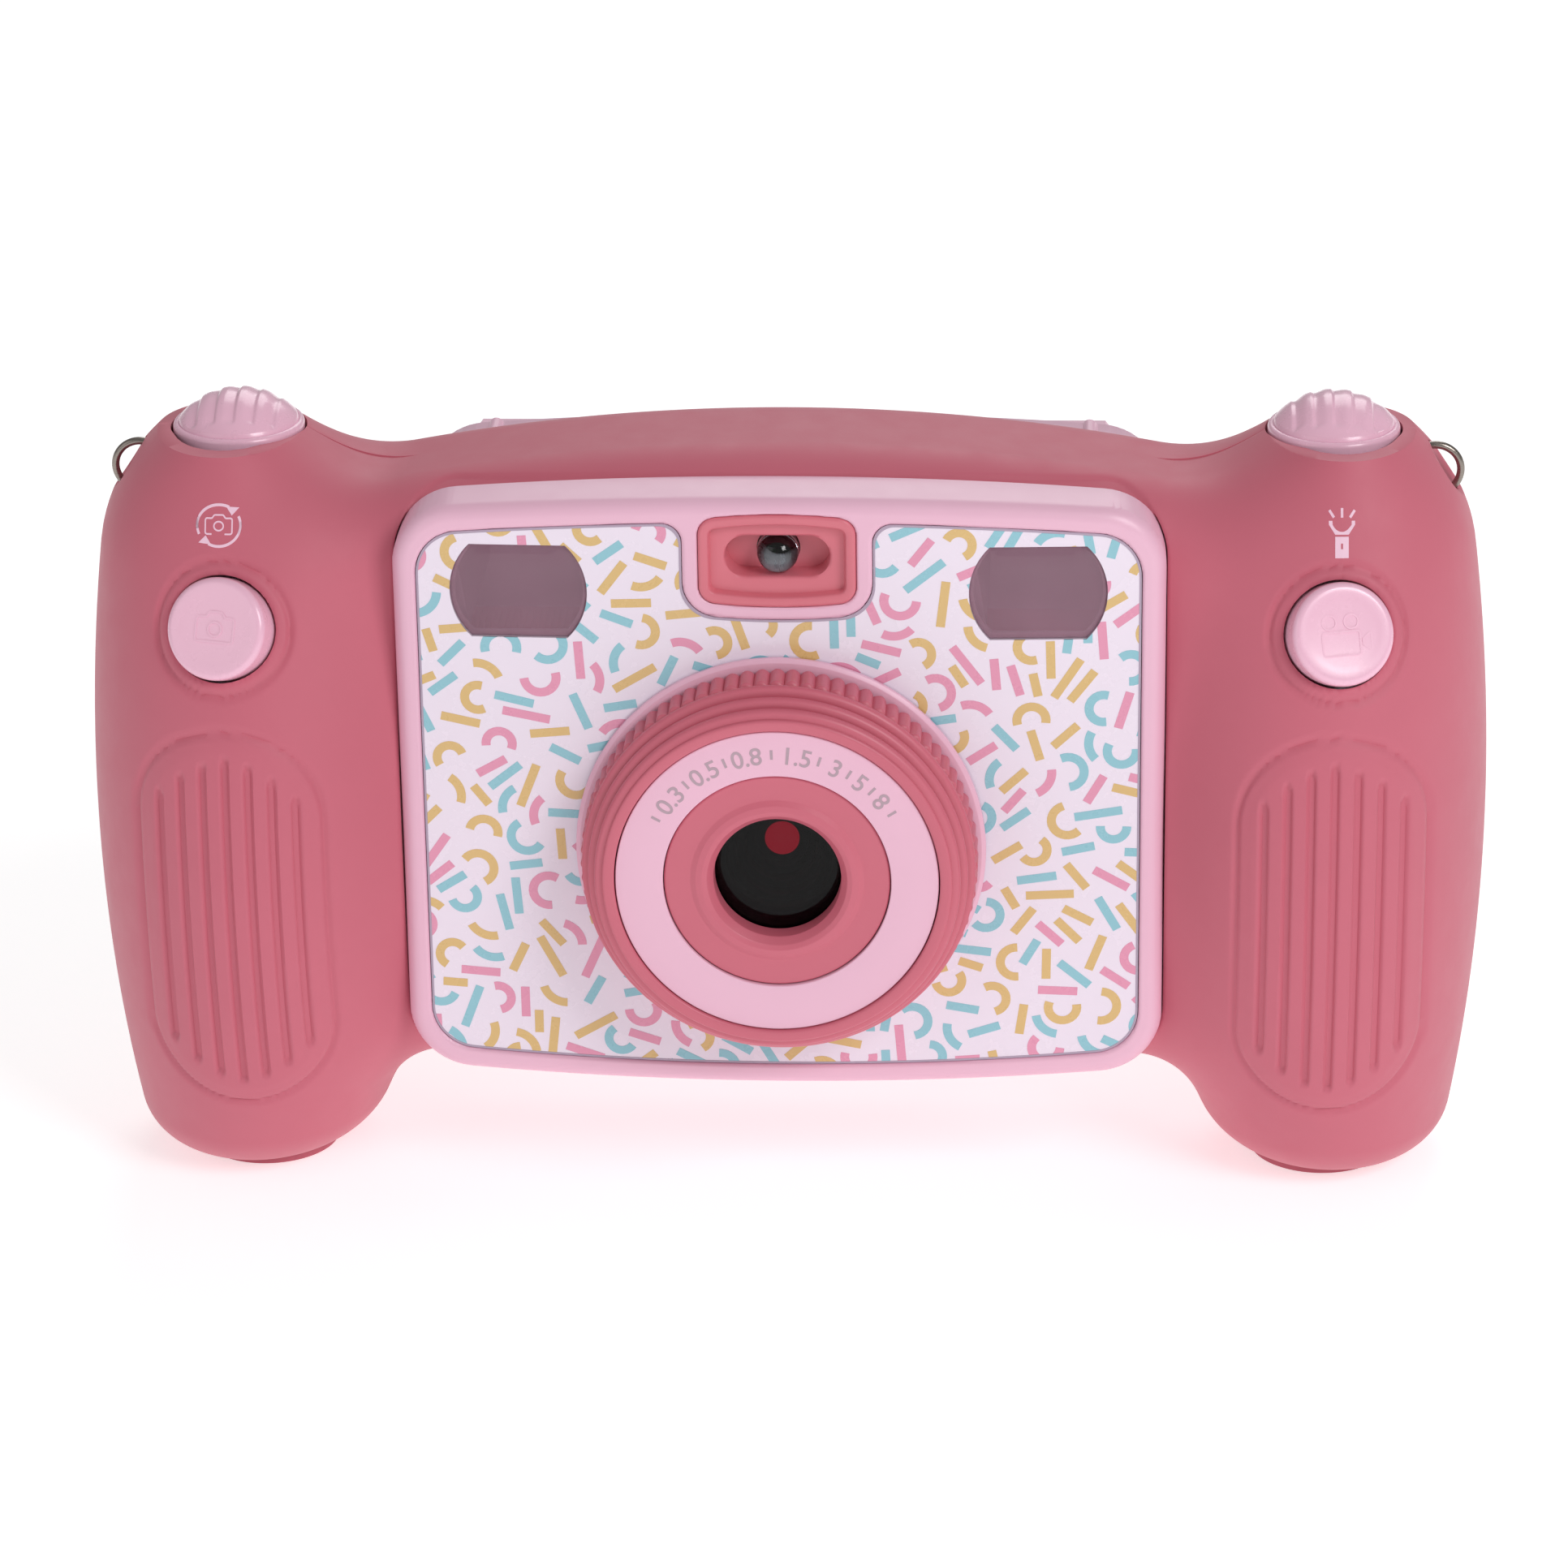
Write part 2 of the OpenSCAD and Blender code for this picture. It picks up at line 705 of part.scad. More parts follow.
module key_board() {
    color("#2f6b3c") place() block([17.4, 13.9, 24], [41.8, 15.1, 60]);
}
function key_places() = [
    [nav_x, nav_z + nav_r], [nav_x, nav_z - nav_r], [nav_x - nav_r, nav_z], [nav_x + nav_r, nav_z],
    [nav_x, nav_z], [nav_x - low_key_dx, low_key_z], [nav_x + low_key_dx, low_key_z]
];
module key_switches() {
    color("#b9bcc2") place() for (p = key_places()) {
        block([p[0] - 1.9, 15.1, p[1] - 1.9], [p[0] + 1.9, 16, p[1] + 1.9]);
        rod_y(1, p[0], p[1], 15.9, key_stem_y - key_travel - stop_gap, 24);
    }
}

module lcd_module() {
    color("#30343a") place()
        block([screen_x - 29, 14.2, screen_z - 21], [screen_x + 29, 17.6, screen_z + 21]);
}
// Flat cable folded from the foot of the display to the main board
module lcd_ribbon() {
    color("#c98b3c") place() difference() {
        block([screen_x - 8, 2.2, 21.2], [screen_x + 8, 16.4, 24]);
        block([screen_x - 9, 2.5, 21.5], [screen_x + 9, 16.1, 24.5]);
        block([screen_x - 9, 2, 22.4], [screen_x + 9, 2.5, 25]);
    }
}
module screen_window() {
    color("#101014") place()
        rounded_bar(54, 41, 2, screen_x, screen_z, 19.35, frame_face - 0.05);
}

// ---------------------------------------------------------------- rear panel
module key_hole(p, r) {
    rod_y(r, p[0], p[1], 15, 25, 32);
}
key_gap = 0.3;
module rear_frame() {
    color("#e3b8cc") place() difference() {
        union() {
            bowed_panel(frame_half, frame_top, frame_bottom, bezel_bow, bezel_bow_low, bezel_corner,
                bezel_seat, frame_face);
            for (s = [-1, 1]) window_bar(s * window_x, 10.4, window_h + 1.6, frame_face - 1, rear_reach);
            for (s = [-1, 1]) rod_y(0.9, s * 37, frame_top - 1.55, 15, frame_face - 0.6, 24);
        }
        difference() {
            bowed_panel(frame_half - frame_rim, frame_top - frame_rim, frame_bottom + frame_rim,
                bezel_bow, bezel_bow_low, bezel_corner - frame_rim, 5, frame_floor);
            for (s = [-1, 1])
                block([s * window_x - 10.2, 0, window_z - 8], [s * window_x + 10.2, 30, 95]);
        }
        for (s = [-1, 1]) window_bar(s * window_x, window_r, window_h, 19.25, 30);
        for (s = [-1, 1]) window_bar(s * window_x, window_r - 0.7, window_h - 1.4, 5, 30);
        rounded_bar(54.2, 41.2, 2.1, screen_x, screen_z, 19.3, 30);
        rounded_bar(50, 37.6, 0.5, screen_x, screen_z, 10, 30);
        rod_y(3.6, 0, window_z, 19.3, 30, 48);
        rod_y(2.6, 0, window_z, 10, 30, 48);
        for (i = [0 : 3]) key_hole(key_places()[i], arrow_r + key_gap);
        key_hole(key_places()[4], ok_r + key_gap);
        for (i = [5, 6]) key_hole(key_places()[i], low_key_r + key_gap);
    }
}
module selfie_window() {
    color("#101014") place() rod_y(3.5, 0, window_z, 19.35, frame_face - 0.05, 48);
}
module selfie_camera() {
    color("#2a2d31") place() union() {
        block([-5, 12.2, window_z - 5], [5, 13.2, window_z + 5]);
        block([-3.8, 13.2, window_z - 3.8], [3.8, 17, window_z + 3.8]);
        rod_y(2.3, 0, window_z, 16.9, 18.9, 32);
    }
}

// Rear key: cap through the frame with a flange behind it and a short stem
module rear_key(p, r) {
    rod_y(r, p[0], p[1], 18.2, 21.7, 48);
    rod_y(r + 0.6, p[0], p[1], 17.6, 18.25, 48);
    rod_y(0.9, p[0], p[1], key_stem_y, 17.7, 24);
}
module key_up() { color("#e6bccf") place() rear_key(key_places()[0], arrow_r); }
module key_down() { color("#e6bccf") place() rear_key(key_places()[1], arrow_r); }
module key_left() { color("#e6bccf") place() rear_key(key_places()[2], arrow_r); }
module key_right() { color("#e6bccf") place() rear_key(key_places()[3], arrow_r); }
module key_ok() { color("#cf7083") place() rear_key(key_places()[4], ok_r); }
module key_menu() { color("#cf7083") place() rear_key(key_places()[5], low_key_r); }
module key_power() { color("#cf7083") place() rear_key(key_places()[6], low_key_r); }

// -------------------------------------------------------- inside of the grips
module battery() {
    color("#b8bcc4") place() union() {
        block([-79, -2, 27], [-52, 5, 62]);
        block([-78, -1.4, 62], [-53, 4.4, 64.5]);
    }
}
module speaker() {
    color("#3b3d42") place() union() {
        rod_y(10, cap_x, speaker_z, 8.5, 11.5, 64);
        rod_y(6, cap_x, speaker_z, 5.5, 8.6, 48);
    }
}
// Lead with round bends through a list of points
module lead(points, r) {
    for (i = [0 : len(points) - 2]) {
        d = points[i + 1] - points[i];
        translate(points[i]) rotate([0, acos(d[2] / norm(d)), atan2(d[1], d[0])])
            cylinder(r = r, h = norm(d), $fn = 16);
    }
    for (i = [1 : len(points) - 2]) translate(points[i]) sphere(r = 1.05 * r, $fn = 16);
}
module battery_lead() {
    color("#b03038") place()
        lead([[-60, 1.5, 64.5], [-60, 1.5, 67], [-50, -1, 67.5], [-40, -1, 58], [-40, 0.3, 52]], 0.6);
}
module speaker_lead() {
    color("#303236") place()
        lead([[61, 4.7, 38], [58, 3, 40], [50, -1, 44], [41, -1, 50], [40, 0.3, 56]], 0.6);
}

module usb_socket() {
    color("#b9bcc2") place() translate([-cap_x, 0, 0]) difference() {
        block([-4.5, -1.6, 3.2], [4.5, 1.6, 10.4]);
        block([-4.1, -1.2, 2], [4.1, 1.2, 9.4]);
    }
}
module card_socket() {
    color("#b9bcc2") place() translate([cap_x, 0, 0]) difference() {
        block([-7, -0.9, 7.4], [7, 1.6, 22]);
        block([-5.6, -0.4, 6], [5.6, 0.7, 20.5]);
    }
}
module port_boards() {
    color("#2f6b3c") place() {
        block([-cap_x - 7, 1.6, 6.5], [-cap_x + 7, 2.8, 21]);
        block([cap_x - 7.5, 1.6, 7.5], [cap_x + 7.5, 2.8, 26]);
    }
}

// Boards and switches behind the front button and under the top button
module grip_boards() {
    color("#2f6b3c") place() mirror_pair() {
        front_button_frame() block([-7, -6.5, -14.2], [7, 6.5, -13]);
        block([cap_x - 7, -5.5, 78.8], [cap_x + 5, 6.5, 80]);
    }
}
module grip_switch(base, tip) {
    translate([-3, -3, base]) cube([6, 6, tip - base - 0.5]);
    translate([0, 0, tip - 0.6]) cylinder(r = 1.7, h = 0.6, $fn = 32);
}
module grip_switches() {
    color("#25262a") place() mirror_pair() {
        front_button_frame() grip_switch(-13, -front_stem - button_travel - stop_gap);
        translate([cap_x, 0, 0]) grip_switch(80, top_stem_z - button_travel - stop_gap);
    }
}

// ------------------------------------------------------------------- buttons
dome_z = 98;
dome_r = 9.4;
groove_pitch = 2.4;
module top_button() {
    translate([cap_x, 0, 0]) difference() {
        union() {
            translate([0, 0, 89.6]) cylinder(r = top_cap_r, h = 4.2);
            translate([0, 0, 93.79]) cylinder(r1 = top_cap_r, r2 = 7.5, h = 0.5);
            intersection() {
                translate([0, 0, dome_z - dome_r]) sphere(r = dome_r, $fn = 96);
                translate([0, 0, 92]) cylinder(r = 7.2, h = 10);
            }
            intersection() {
                translate([0, 0, 88.6]) cylinder(r = 9, h = 1.01);
                translate([-10, -6, 88]) cube([20, 12, 3]);
            }
            translate([0, 0, top_stem_z]) cylinder(r = 1.8, h = 4.1, $fn = 32);
        }
        for (i = [-2 : 2]) translate([i * groove_pitch, 0, dome_z - dome_r])
            rotate([0, 90, 0]) rotate_extrude($fn = 96)
                translate([sqrt(dome_r * dome_r - pow(i * groove_pitch, 2)), 0]) circle(r = 0.4, $fn = 16);
    }
}
module top_button_left() { color("#e6bccf") place() side_of(-1) top_button(); }
module top_button_right() { color("#e6bccf") place() side_of(1) top_button(); }

module front_button() {
    front_button_frame() union() {
        translate([0, 0, -front_skirt]) cylinder(r = front_button_r, h = front_skirt + 0.8);
        translate([0, 0, 0.79]) cylinder(r1 = front_button_r, r2 = front_button_r - 0.6, h = 0.55);
        translate([0, 0, -front_skirt - 0.8]) cylinder(r = 7.1, h = 0.81);
        translate([0, 0, -front_stem]) cylinder(r = 1.6, h = front_stem - front_skirt, $fn = 32);
    }
}
module front_button_left() { color("#e9bed1") place() side_of(-1) front_button(); }
module front_button_right() { color("#e9bed1") place() side_of(1) front_button(); }

// --------------------------------------------------------------------- hardware
module strap_loop_left() { color("#a7a39c") place() side_of(-1) strap_frame() strap_wire(); }
module strap_loop_right() { color("#a7a39c") place() side_of(1) strap_frame() strap_wire(); }

module screw_y(x, z, head_r, head_t, shank_r, y_head, length) {
    rod_y(head_r, x, z, y_head, y_head + head_t, 32);
    rod_y(shank_r, x, z, y_head - length, y_head + eps, 24);
}
module case_screws() {
    color("#8d9096") place() mirror_pair() for (z = case_screw_zs)
        screw_y(case_screw_x, z, 2.3, 1.6, 1.15, 9.05, 16);
}
module board_screws() {
    color("#8d9096") place() mirror_pair() for (z = board_screw_zs)
        screw_y(board_screw_x, z, 2, 1.3, 0.85, 2.25, 8);
}

// ------------------------------------------------------------- port covers
// Rubber cover that the camera stands on, hinged at its rear edge
cover_t = 0.95;
cover_r = 8.6;
cover_ahead = 3;
cover_hinge_y = 8.2;
module port_cover(plug_w, plug_d) {
    translate([cap_x, 0, ground_z]) {
        translate([0, -cover_ahead, 0]) cylinder(r = cover_r, h = cover_t);
        translate([-2.5, 4, 0]) cube([5, cover_hinge_y - 4, cover_t]);
        translate([-plug_w / 2, -plug_d / 2, cover_t - eps]) cube([plug_w, plug_d, 1.9]);
    }
}
module usb_cover() { color("#c4637a") place() side_of(-1) port_cover(7.6, 2); }
module card_cover() { color("#c4637a") place() side_of(1) port_cover(8.6, 2); }

front_shell();
rear_shell();
front_bezel();
face_plate();
window_left();
window_right();
viewfinder_tube_left();
viewfinder_tube_right();
eyepiece_left();
eyepiece_right();
flash_insert();
flash_led();
flash_board();
lens_flange();
lens_barrel();
lens_ring();
lens_face_ring();
lens_cone();
lens_glass();
camera_module();
main_board();
board_chips();
key_board();
key_switches();
lcd_module();
lcd_ribbon();
screen_window();
rear_frame();
selfie_window();
selfie_camera();
speaker();
battery();
battery_lead();
speaker_lead();
usb_socket();
card_socket();
port_boards();
grip_boards();
grip_switches();
strap_loop_left();
strap_loop_right();
case_screws();
board_screws();
top_button_left();
top_button_right();
front_button_left();
front_button_right();
key_up();
key_down();
key_left();
key_right();
key_ok();
key_menu();
key_power();
usb_cover();
card_cover();
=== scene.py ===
"""Looks of the children's camera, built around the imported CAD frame."""

import math

import bpy
import numpy as np
from mathutils import Matrix, Vector


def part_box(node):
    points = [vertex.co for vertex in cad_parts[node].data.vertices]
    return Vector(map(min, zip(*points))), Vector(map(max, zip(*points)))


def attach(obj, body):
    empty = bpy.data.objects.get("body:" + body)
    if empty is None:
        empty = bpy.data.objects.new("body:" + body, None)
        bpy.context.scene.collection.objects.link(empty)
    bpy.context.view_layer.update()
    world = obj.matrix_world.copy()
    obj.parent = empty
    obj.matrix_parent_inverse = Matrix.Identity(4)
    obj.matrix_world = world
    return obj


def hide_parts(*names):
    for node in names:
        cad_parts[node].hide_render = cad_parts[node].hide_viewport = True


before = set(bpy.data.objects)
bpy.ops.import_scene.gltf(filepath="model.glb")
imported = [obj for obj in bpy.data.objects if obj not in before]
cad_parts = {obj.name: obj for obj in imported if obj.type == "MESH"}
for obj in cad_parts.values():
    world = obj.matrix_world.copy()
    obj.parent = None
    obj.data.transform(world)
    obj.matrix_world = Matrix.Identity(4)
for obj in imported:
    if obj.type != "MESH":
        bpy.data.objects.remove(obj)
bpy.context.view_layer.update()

# Drawing frame: millimetres about the parting plane, as the case is drawn
MM = 0.001
LENS_REACH = 31.6
COVER_LOW = -0.9
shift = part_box("lens_ring")[0].y / MM + LENS_REACH
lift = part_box("usb_cover")[0].z / MM - COVER_LOW
ORIGIN = (0.0, shift, lift)
BODY = "camera_body"
SIGNS = (-1, 1)
SIDES = ((-1, "left"), (1, "right"))


def row(points):
    """Points of the drawing frame in the shared frame, in metres."""
    return (np.asarray(points, float) + ORIGIN) * MM


def shown(name, data):
    """A new object in the scene."""
    made = bpy.data.objects.new(name, data)
    bpy.context.scene.collection.objects.link(made)
    return made


# ------------------------------------------------------------------ camera
CAMERA_AT = (0.0362, -0.6852, 0.3371)
CAMERA_TURN = (3.06, 22.77, -0.84)  # azimuth, elevation and roll in degrees
FOCAL_LENGTH = 138.4


def add_camera():
    azimuth, elevation, roll = map(math.radians, CAMERA_TURN)
    back = Vector((math.sin(azimuth) * math.cos(elevation),
                   -math.cos(azimuth) * math.cos(elevation), math.sin(elevation)))
    right = Vector((math.cos(azimuth), math.sin(azimuth), 0))
    up = back.cross(right)
    side = right * math.cos(roll) + up * math.sin(roll)
    top = up * math.cos(roll) - right * math.sin(roll)
    data = bpy.data.cameras.new("photo_view")
    data.lens = FOCAL_LENGTH
    data.sensor_width = 36
    data.clip_start = 0.01
    camera = shown("photo_view", data)
    place = Matrix((side, top, back)).transposed().to_4x4()
    place.translation = CAMERA_AT
    camera.matrix_world = place
    bpy.context.scene.camera = camera


add_camera()


# --------------------------------------------------------------- materials
def linear(rgb):
    """Linear colour from 0-255 display values."""
    return tuple((c / 255 / 12.92) if c <= 10 else ((c / 255 + 0.055) / 1.055) ** 2.4 for c in rgb)


class Paint:
    """A procedural material put together node by node."""

    def __init__(self, name):
        self.mat = bpy.data.materials.new(name)
        self.mat.use_nodes = True
        self.tree = self.mat.node_tree
        self.shader = self.tree.nodes["Principled BSDF"]
        self.coords = self.node("ShaderNodeTexCoord").outputs["Object"]

    def node(self, kind, values=(), **settings):
        made = self.tree.nodes.new(kind)
        for key, value in settings.items():
            setattr(made, key, value)
        for key, value in dict(values).items():
            made.inputs[key].default_value = value
        return made

    def link(self, out, into):
        self.tree.links.new(out, into)

    def set(self, **values):
        for key, value in values.items():
            self.shader.inputs[key.replace("_", " ")].default_value = value
        return self

    def noise(self, scale, detail=3.0, rough=0.55, stretch=None):
        made = self.node("ShaderNodeTexNoise",
                         {"Scale": scale, "Detail": detail, "Roughness": rough})
        source = self.coords
        if stretch:
            mapping = self.node("ShaderNodeMapping", {"Scale": stretch})
            self.link(self.coords, mapping.inputs["Vector"])
            source = mapping.outputs["Vector"]
        self.link(source, made.inputs["Vector"])
        return made.outputs["Fac"]

    def ramp(self, value, low, high, out_low, out_high):
        made = self.node("ShaderNodeMapRange", {
            "From Min": low, "From Max": high, "To Min": out_low, "To Max": out_high})
        self.link(value, made.inputs["Value"])
        return made.outputs["Result"]

    def colour(self, factor, first, second):
        made = self.node("ShaderNodeMix", data_type="RGBA")
        self.link(factor, made.inputs[0])
        for slot, value in ((6, first), (7, second)):
            if isinstance(value, tuple):
                made.inputs[slot].default_value = (*value, 1)
            else:
                self.link(value, made.inputs[slot])
        return made.outputs[2]

    def base(self, out):
        self.link(out, self.shader.inputs["Base Color"])
        return self

    def tint(self, value, low, high, tones):
        """Base colour that goes from one tone to the other with a value."""
        return self.base(self.colour(self.ramp(value, low, high, 0, 1), *tones))

    def rough(self, value, low, high, rough_low, rough_high):
        self.link(self.ramp(value, low, high, rough_low, rough_high),
                  self.shader.inputs["Roughness"])

    def bump(self, height, strength, distance):
        made = self.node("ShaderNodeBump", {"Strength": strength, "Distance": distance})
        self.link(height, made.inputs["Height"])
        self.link(made.outputs["Normal"], self.shader.inputs["Normal"])


def shades(rgb, *factors):
    """Linear colours, darker or lighter than a display colour by factors."""
    return [tuple(min(1.0, c * factor) for c in linear(rgb)) for factor in factors]


def moulded(name, rgb, rough, spread, grain, strength, mottle, coat=None, **sockets):
    """Moulded plastic: faint flow mottling, spark-eroded grain and uneven gloss."""
    paint = Paint(name)
    dark, light, speck = shades(rgb, 1 - mottle, 1 + mottle, 1 - 2 * mottle)
    slow = paint.ramp(paint.noise(28, 4, 0.6), 0.3, 0.7, 0, 1)
    flow = paint.colour(slow, dark, light)
    fine = paint.noise(grain, 4, 0.7)
    paint.base(paint.colour(paint.ramp(fine, 0.55, 0.8, 0, 0.35), flow, speck))
    paint.rough(paint.noise(240, 5, 0.65), 0.3, 0.7, rough - spread, rough + spread)
    paint.bump(fine, strength, 0.00004)
    if coat:
        paint.set(Coat_Weight=coat[0], Coat_Roughness=coat[1])
    return paint.set(**sockets).mat


def streaked(name, noise, spread, tones, rough, strength, distance, metallic=0.0):
    """Material whose colour, gloss and relief all follow one noise."""
    paint = Paint(name)
    streaks = paint.noise(*noise)
    paint.tint(streaks, *spread, tones)
    paint.rough(streaks, 0.3, 0.7, *rough)
    paint.bump(streaks, strength, distance)
    return paint.set(Metallic=metallic).mat


def metal(name, rgb, rough, brushed):
    return streaked(name, (900, 4, 0.7, brushed), (0.3, 0.7), shades(rgb, 0.82, 1.1),
                    (rough * 0.7, rough * 1.4), 0.15, 0.00002, 1.0)


def lead_skin(name, rgb):
    return streaked(name, (2600, 3, 0.6), (0.3, 0.7), shades(rgb, 0.85, 1.1),
                    (0.35, 0.5), 0.2, 0.00003)


def cell_film():
    """Shrink film of the cell, with long creases."""
    tones = [linear((150, 156, 166)), linear((196, 201, 210))]
    return streaked("cell_film", (120, 6, 0.7, (1, 1, 0.25)), (0.35, 0.65), tones,
                    (0.22, 0.42), 0.5, 0.0002, 0.8)


def circuit_board():
    """Green solder mask with copper tracks showing through as raised lines."""
    paint = Paint("circuit_board_green")
    brick = paint.node("ShaderNodeTexBrick", {
        "Scale": 160.0, "Mortar Size": 0.06, "Color1": (*linear((26, 84, 48)), 1),
        "Color2": (*linear((22, 74, 42)), 1), "Mortar": (*linear((58, 128, 76)), 1)})
    paint.link(paint.coords, brick.inputs["Vector"])
    paint.base(brick.outputs["Color"])
    paint.rough(paint.noise(500), 0.3, 0.7, 0.3, 0.45)
    paint.bump(brick.outputs["Fac"], 0.4, 0.00003)
    return paint.mat


def clear(name, rgb, alpha, rough, coat=(0, 0.03), **sockets):
    """Clear or smoked sheet, with a faint haze and fine scuffs."""
    paint = Paint(name)
    paint.tint(paint.noise(60, 4, 0.6), 0.3, 0.7, shades(rgb, 0.9, 1.1))
    paint.rough(paint.noise(700, 5, 0.7), 0.35, 0.7, rough, rough + 0.05)
    paint.bump(paint.noise(1500, 4), 0.03, 0.00002)
    return paint.set(Alpha=alpha, Coat_Weight=coat[0], Coat_Roughness=coat[1], **sockets).mat


def printed(name, rgb):
    """Ink under the clear film of the face plate."""
    return moulded(name, rgb, 0.28, 0.04, 3400, 0.03, 0.03, (0.5, 0.1))


mats = {
    "rose": moulded("rose_soft_touch", (201, 103, 121), 0.56, 0.05, 5200, 0.16, 0.025,
                    Sheen_Weight=0.12, Specular_IOR_Level=0.42),
    "rose_satin": moulded("rose_satin", (205, 104, 122), 0.4, 0.05, 4600, 0.07, 0.02),
    "insert": moulded("rose_insert", (216, 116, 130), 0.38, 0.05, 4200, 0.06, 0.02),
    "pink": moulded("pink_satin", (236, 186, 208), 0.36, 0.05, 4200, 0.05, 0.015, (0.15, 0.3)),
    "pink_gloss": moulded("pink_button", (242, 190, 212), 0.27, 0.05, 3600, 0.04, 0.015,
                          (0.4, 0.15)),
    "plate": moulded("printed_white", (238, 226, 240), 0.26, 0.04, 3000, 0.03, 0.012,
                     (0.5, 0.1)),
    "teal": printed("print_teal", (142, 196, 209)),
    "print_pink": printed("print_pink", (228, 148, 178)),
    "mustard": printed("print_mustard", (219, 183, 118)),
    "film_edge": moulded("film_edge", (176, 158, 178), 0.3, 0.04, 3400, 0.03, 0.04),
    "ink": moulded("grey_ink", (182, 156, 168), 0.4, 0.05, 3400, 0.05, 0.04),
    "icon": moulded("icon_ink", (246, 205, 224), 0.42, 0.05, 3400, 0.05, 0.02),
    "tube": moulded("tube_mauve", (196, 152, 172), 0.5, 0.06, 3000, 0.1, 0.05),
    "tube_rib": moulded("tube_rib", (196, 84, 108), 0.42, 0.06, 3000, 0.1, 0.05),
    "barrel": moulded("barrel_dark", (66, 52, 60), 0.4, 0.06, 3000, 0.08, 0.05),
    "module": moulded("module_black", (26, 26, 29), 0.45, 0.06, 3000, 0.1, 0.08),
    "lens_inner": moulded("lens_inner", (4, 3, 4), 0.5, 0.05, 3000, 0.05, 0.1,
                          Specular_IOR_Level=0.12),
    "screen": moulded("screen_glass", (13, 13, 17), 0.1, 0.03, 900, 0.02, 0.2, (1.0, 0.03)),
    "panel": moulded("display_panel", (34, 36, 44), 0.2, 0.04, 900, 0.02, 0.2, (1.0, 0.04)),
    "rubber": moulded("cover_rubber", (190, 98, 114), 0.62, 0.05, 4200, 0.2, 0.04),
    "ribbon": moulded("ribbon_film", (196, 134, 62), 0.34, 0.05, 1500, 0.05, 0.08),
    # Red coating of the inner lens element. Its emission is a painted glow that stands in for the
    # red glint off it; it is no lamp.
    "red_coat_painted_glow": moulded("red_coating_painted_glow", (196, 10, 44), 0.2, 0.04, 2400, 0.02, 0.05, (1.0, 0.04),
                        Emission_Color=(0.55, 0.004, 0.03, 1), Emission_Strength=2.0),
    "board": circuit_board(),
    "foil": cell_film(),
    "lead_red": lead_skin("lead_red_skin", (168, 40, 48)),
    "lead_black": lead_skin("lead_black_skin", (38, 39, 43)),
    "loop": metal("loop_wire", (150, 141, 134), 0.26, (1, 1, 6)),
    "steel": metal("steel_sheet", (176, 179, 184), 0.3, (6, 1, 1)),
    "screw": metal("screw_head", (128, 131, 138), 0.34, (1, 1, 1)),
    "smoke": clear("smoke_window", (160, 118, 137), 0.46, 0.06, (0.5, 0.04)),
    "eyepiece": clear("eyepiece_clear", (190, 200, 208), 0.3, 0.04, (0.6, 0.03)),
    "lens_glass": clear("lens_glass", (4, 3, 4), 0.6, 0.02, (0.2, 0.02),
                        Specular_IOR_Level=0.15),
    "led": clear("led_clear", (250, 250, 252), 1.0, 0.0, Transmission_Weight=1.0, IOR=1.49),
}


# ------------------------------------------------------------ mesh helpers
def merge(*shapes):
    """Several (points, faces) shapes as one."""
    points, faces, count = [], [], 0
    for vs, fs in shapes:
        points.append(np.asarray(vs, float))
        faces += [tuple(i + count for i in f) for f in fs]
        count += len(vs)
    return np.concatenate(points), faces


def outward(points, faces):
    """The same closed shape with its faces turned outwards."""
    p = np.asarray(points, float)
    volume = 0.0
    for size in {len(f) for f in faces}:
        group = np.array([f for f in faces if len(f) == size])
        for i in range(1, size - 1):
            across = np.cross(p[group[:, i]], p[group[:, i + 1]])
            volume += np.einsum("ij,ij->", p[group[:, 0]], across)
    return (p, faces) if volume > 0 else (p, [f[::-1] for f in faces])


def loft(rings, joined=False):
    """Closed solid through rings of equal length, capped or joined end to end."""
    size, count = len(rings[0]), len(rings)
    faces = []
    for k in range(count if joined else count - 1):
        a, b = k * size, (k + 1) % count * size
        faces += [(a + i, a + (i + 1) % size, b + (i + 1) % size, b + i) for i in range(size)]
    if not joined:
        faces += [tuple(range(size))[::-1], tuple(range((count - 1) * size, count * size))]
    return outward(np.concatenate(rings), faces)


def plane_ring(outline, y):
    """Outline in x, z as points at the depth y, which may be a function of x."""
    o = np.asarray(outline, float)
    depth = y(o[:, 0]) if callable(y) else np.full(len(o), y)
    return np.column_stack([o[:, 0], depth, o[:, 1]])


def stack(*sections, joined=False):
    """Closed solid through (outline, y) sections of matched outlines."""
    return loft([plane_ring(*section) for section in sections], joined)


def prism(outline, y0, y1):
    return stack((outline, y0), (outline, y1))


def box_shape(low, high):
    (x0, y0, z0), (x1, y1, z1) = low, high
    return prism([(x0, z0), (x1, z0), (x1, z1), (x0, z1)], y0, y1)


def rounded_profile(profile, radius, steps=4):
    """Closed profile with every corner rounded as far as its sides allow."""
    p = np.asarray(profile, float)
    out = []
    for i in range(len(p)):
        a, b, c = p[i - 1], p[i], p[(i + 1) % len(p)]
        u, v = a - b, c - b
        lu, lv = np.linalg.norm(u), np.linalg.norm(v)
        u, v = u / lu, v / lv
        cos = float(np.clip(np.dot(u, v), -1, 1))
        if cos < -0.985:
            out.append(b)
            continue
        half = math.acos(cos) / 2
        reach = min(radius / math.tan(half), 0.45 * lu, 0.45 * lv)
        r = reach * math.tan(half)
        centre = b + (u + v) / np.linalg.norm(u + v) * (r / math.sin(half))
        s, e = b + u * reach - centre, b + v * reach - centre
        a0, a1 = math.atan2(s[1], s[0]), math.atan2(e[1], e[0])
        turn = (a1 - a0 + math.pi) % (2 * math.pi) - math.pi
        for k in range(steps + 1):
            a = a0 + turn * k / steps
            out.append(centre + r * np.array([math.cos(a), math.sin(a)]))
    return np.array(out)


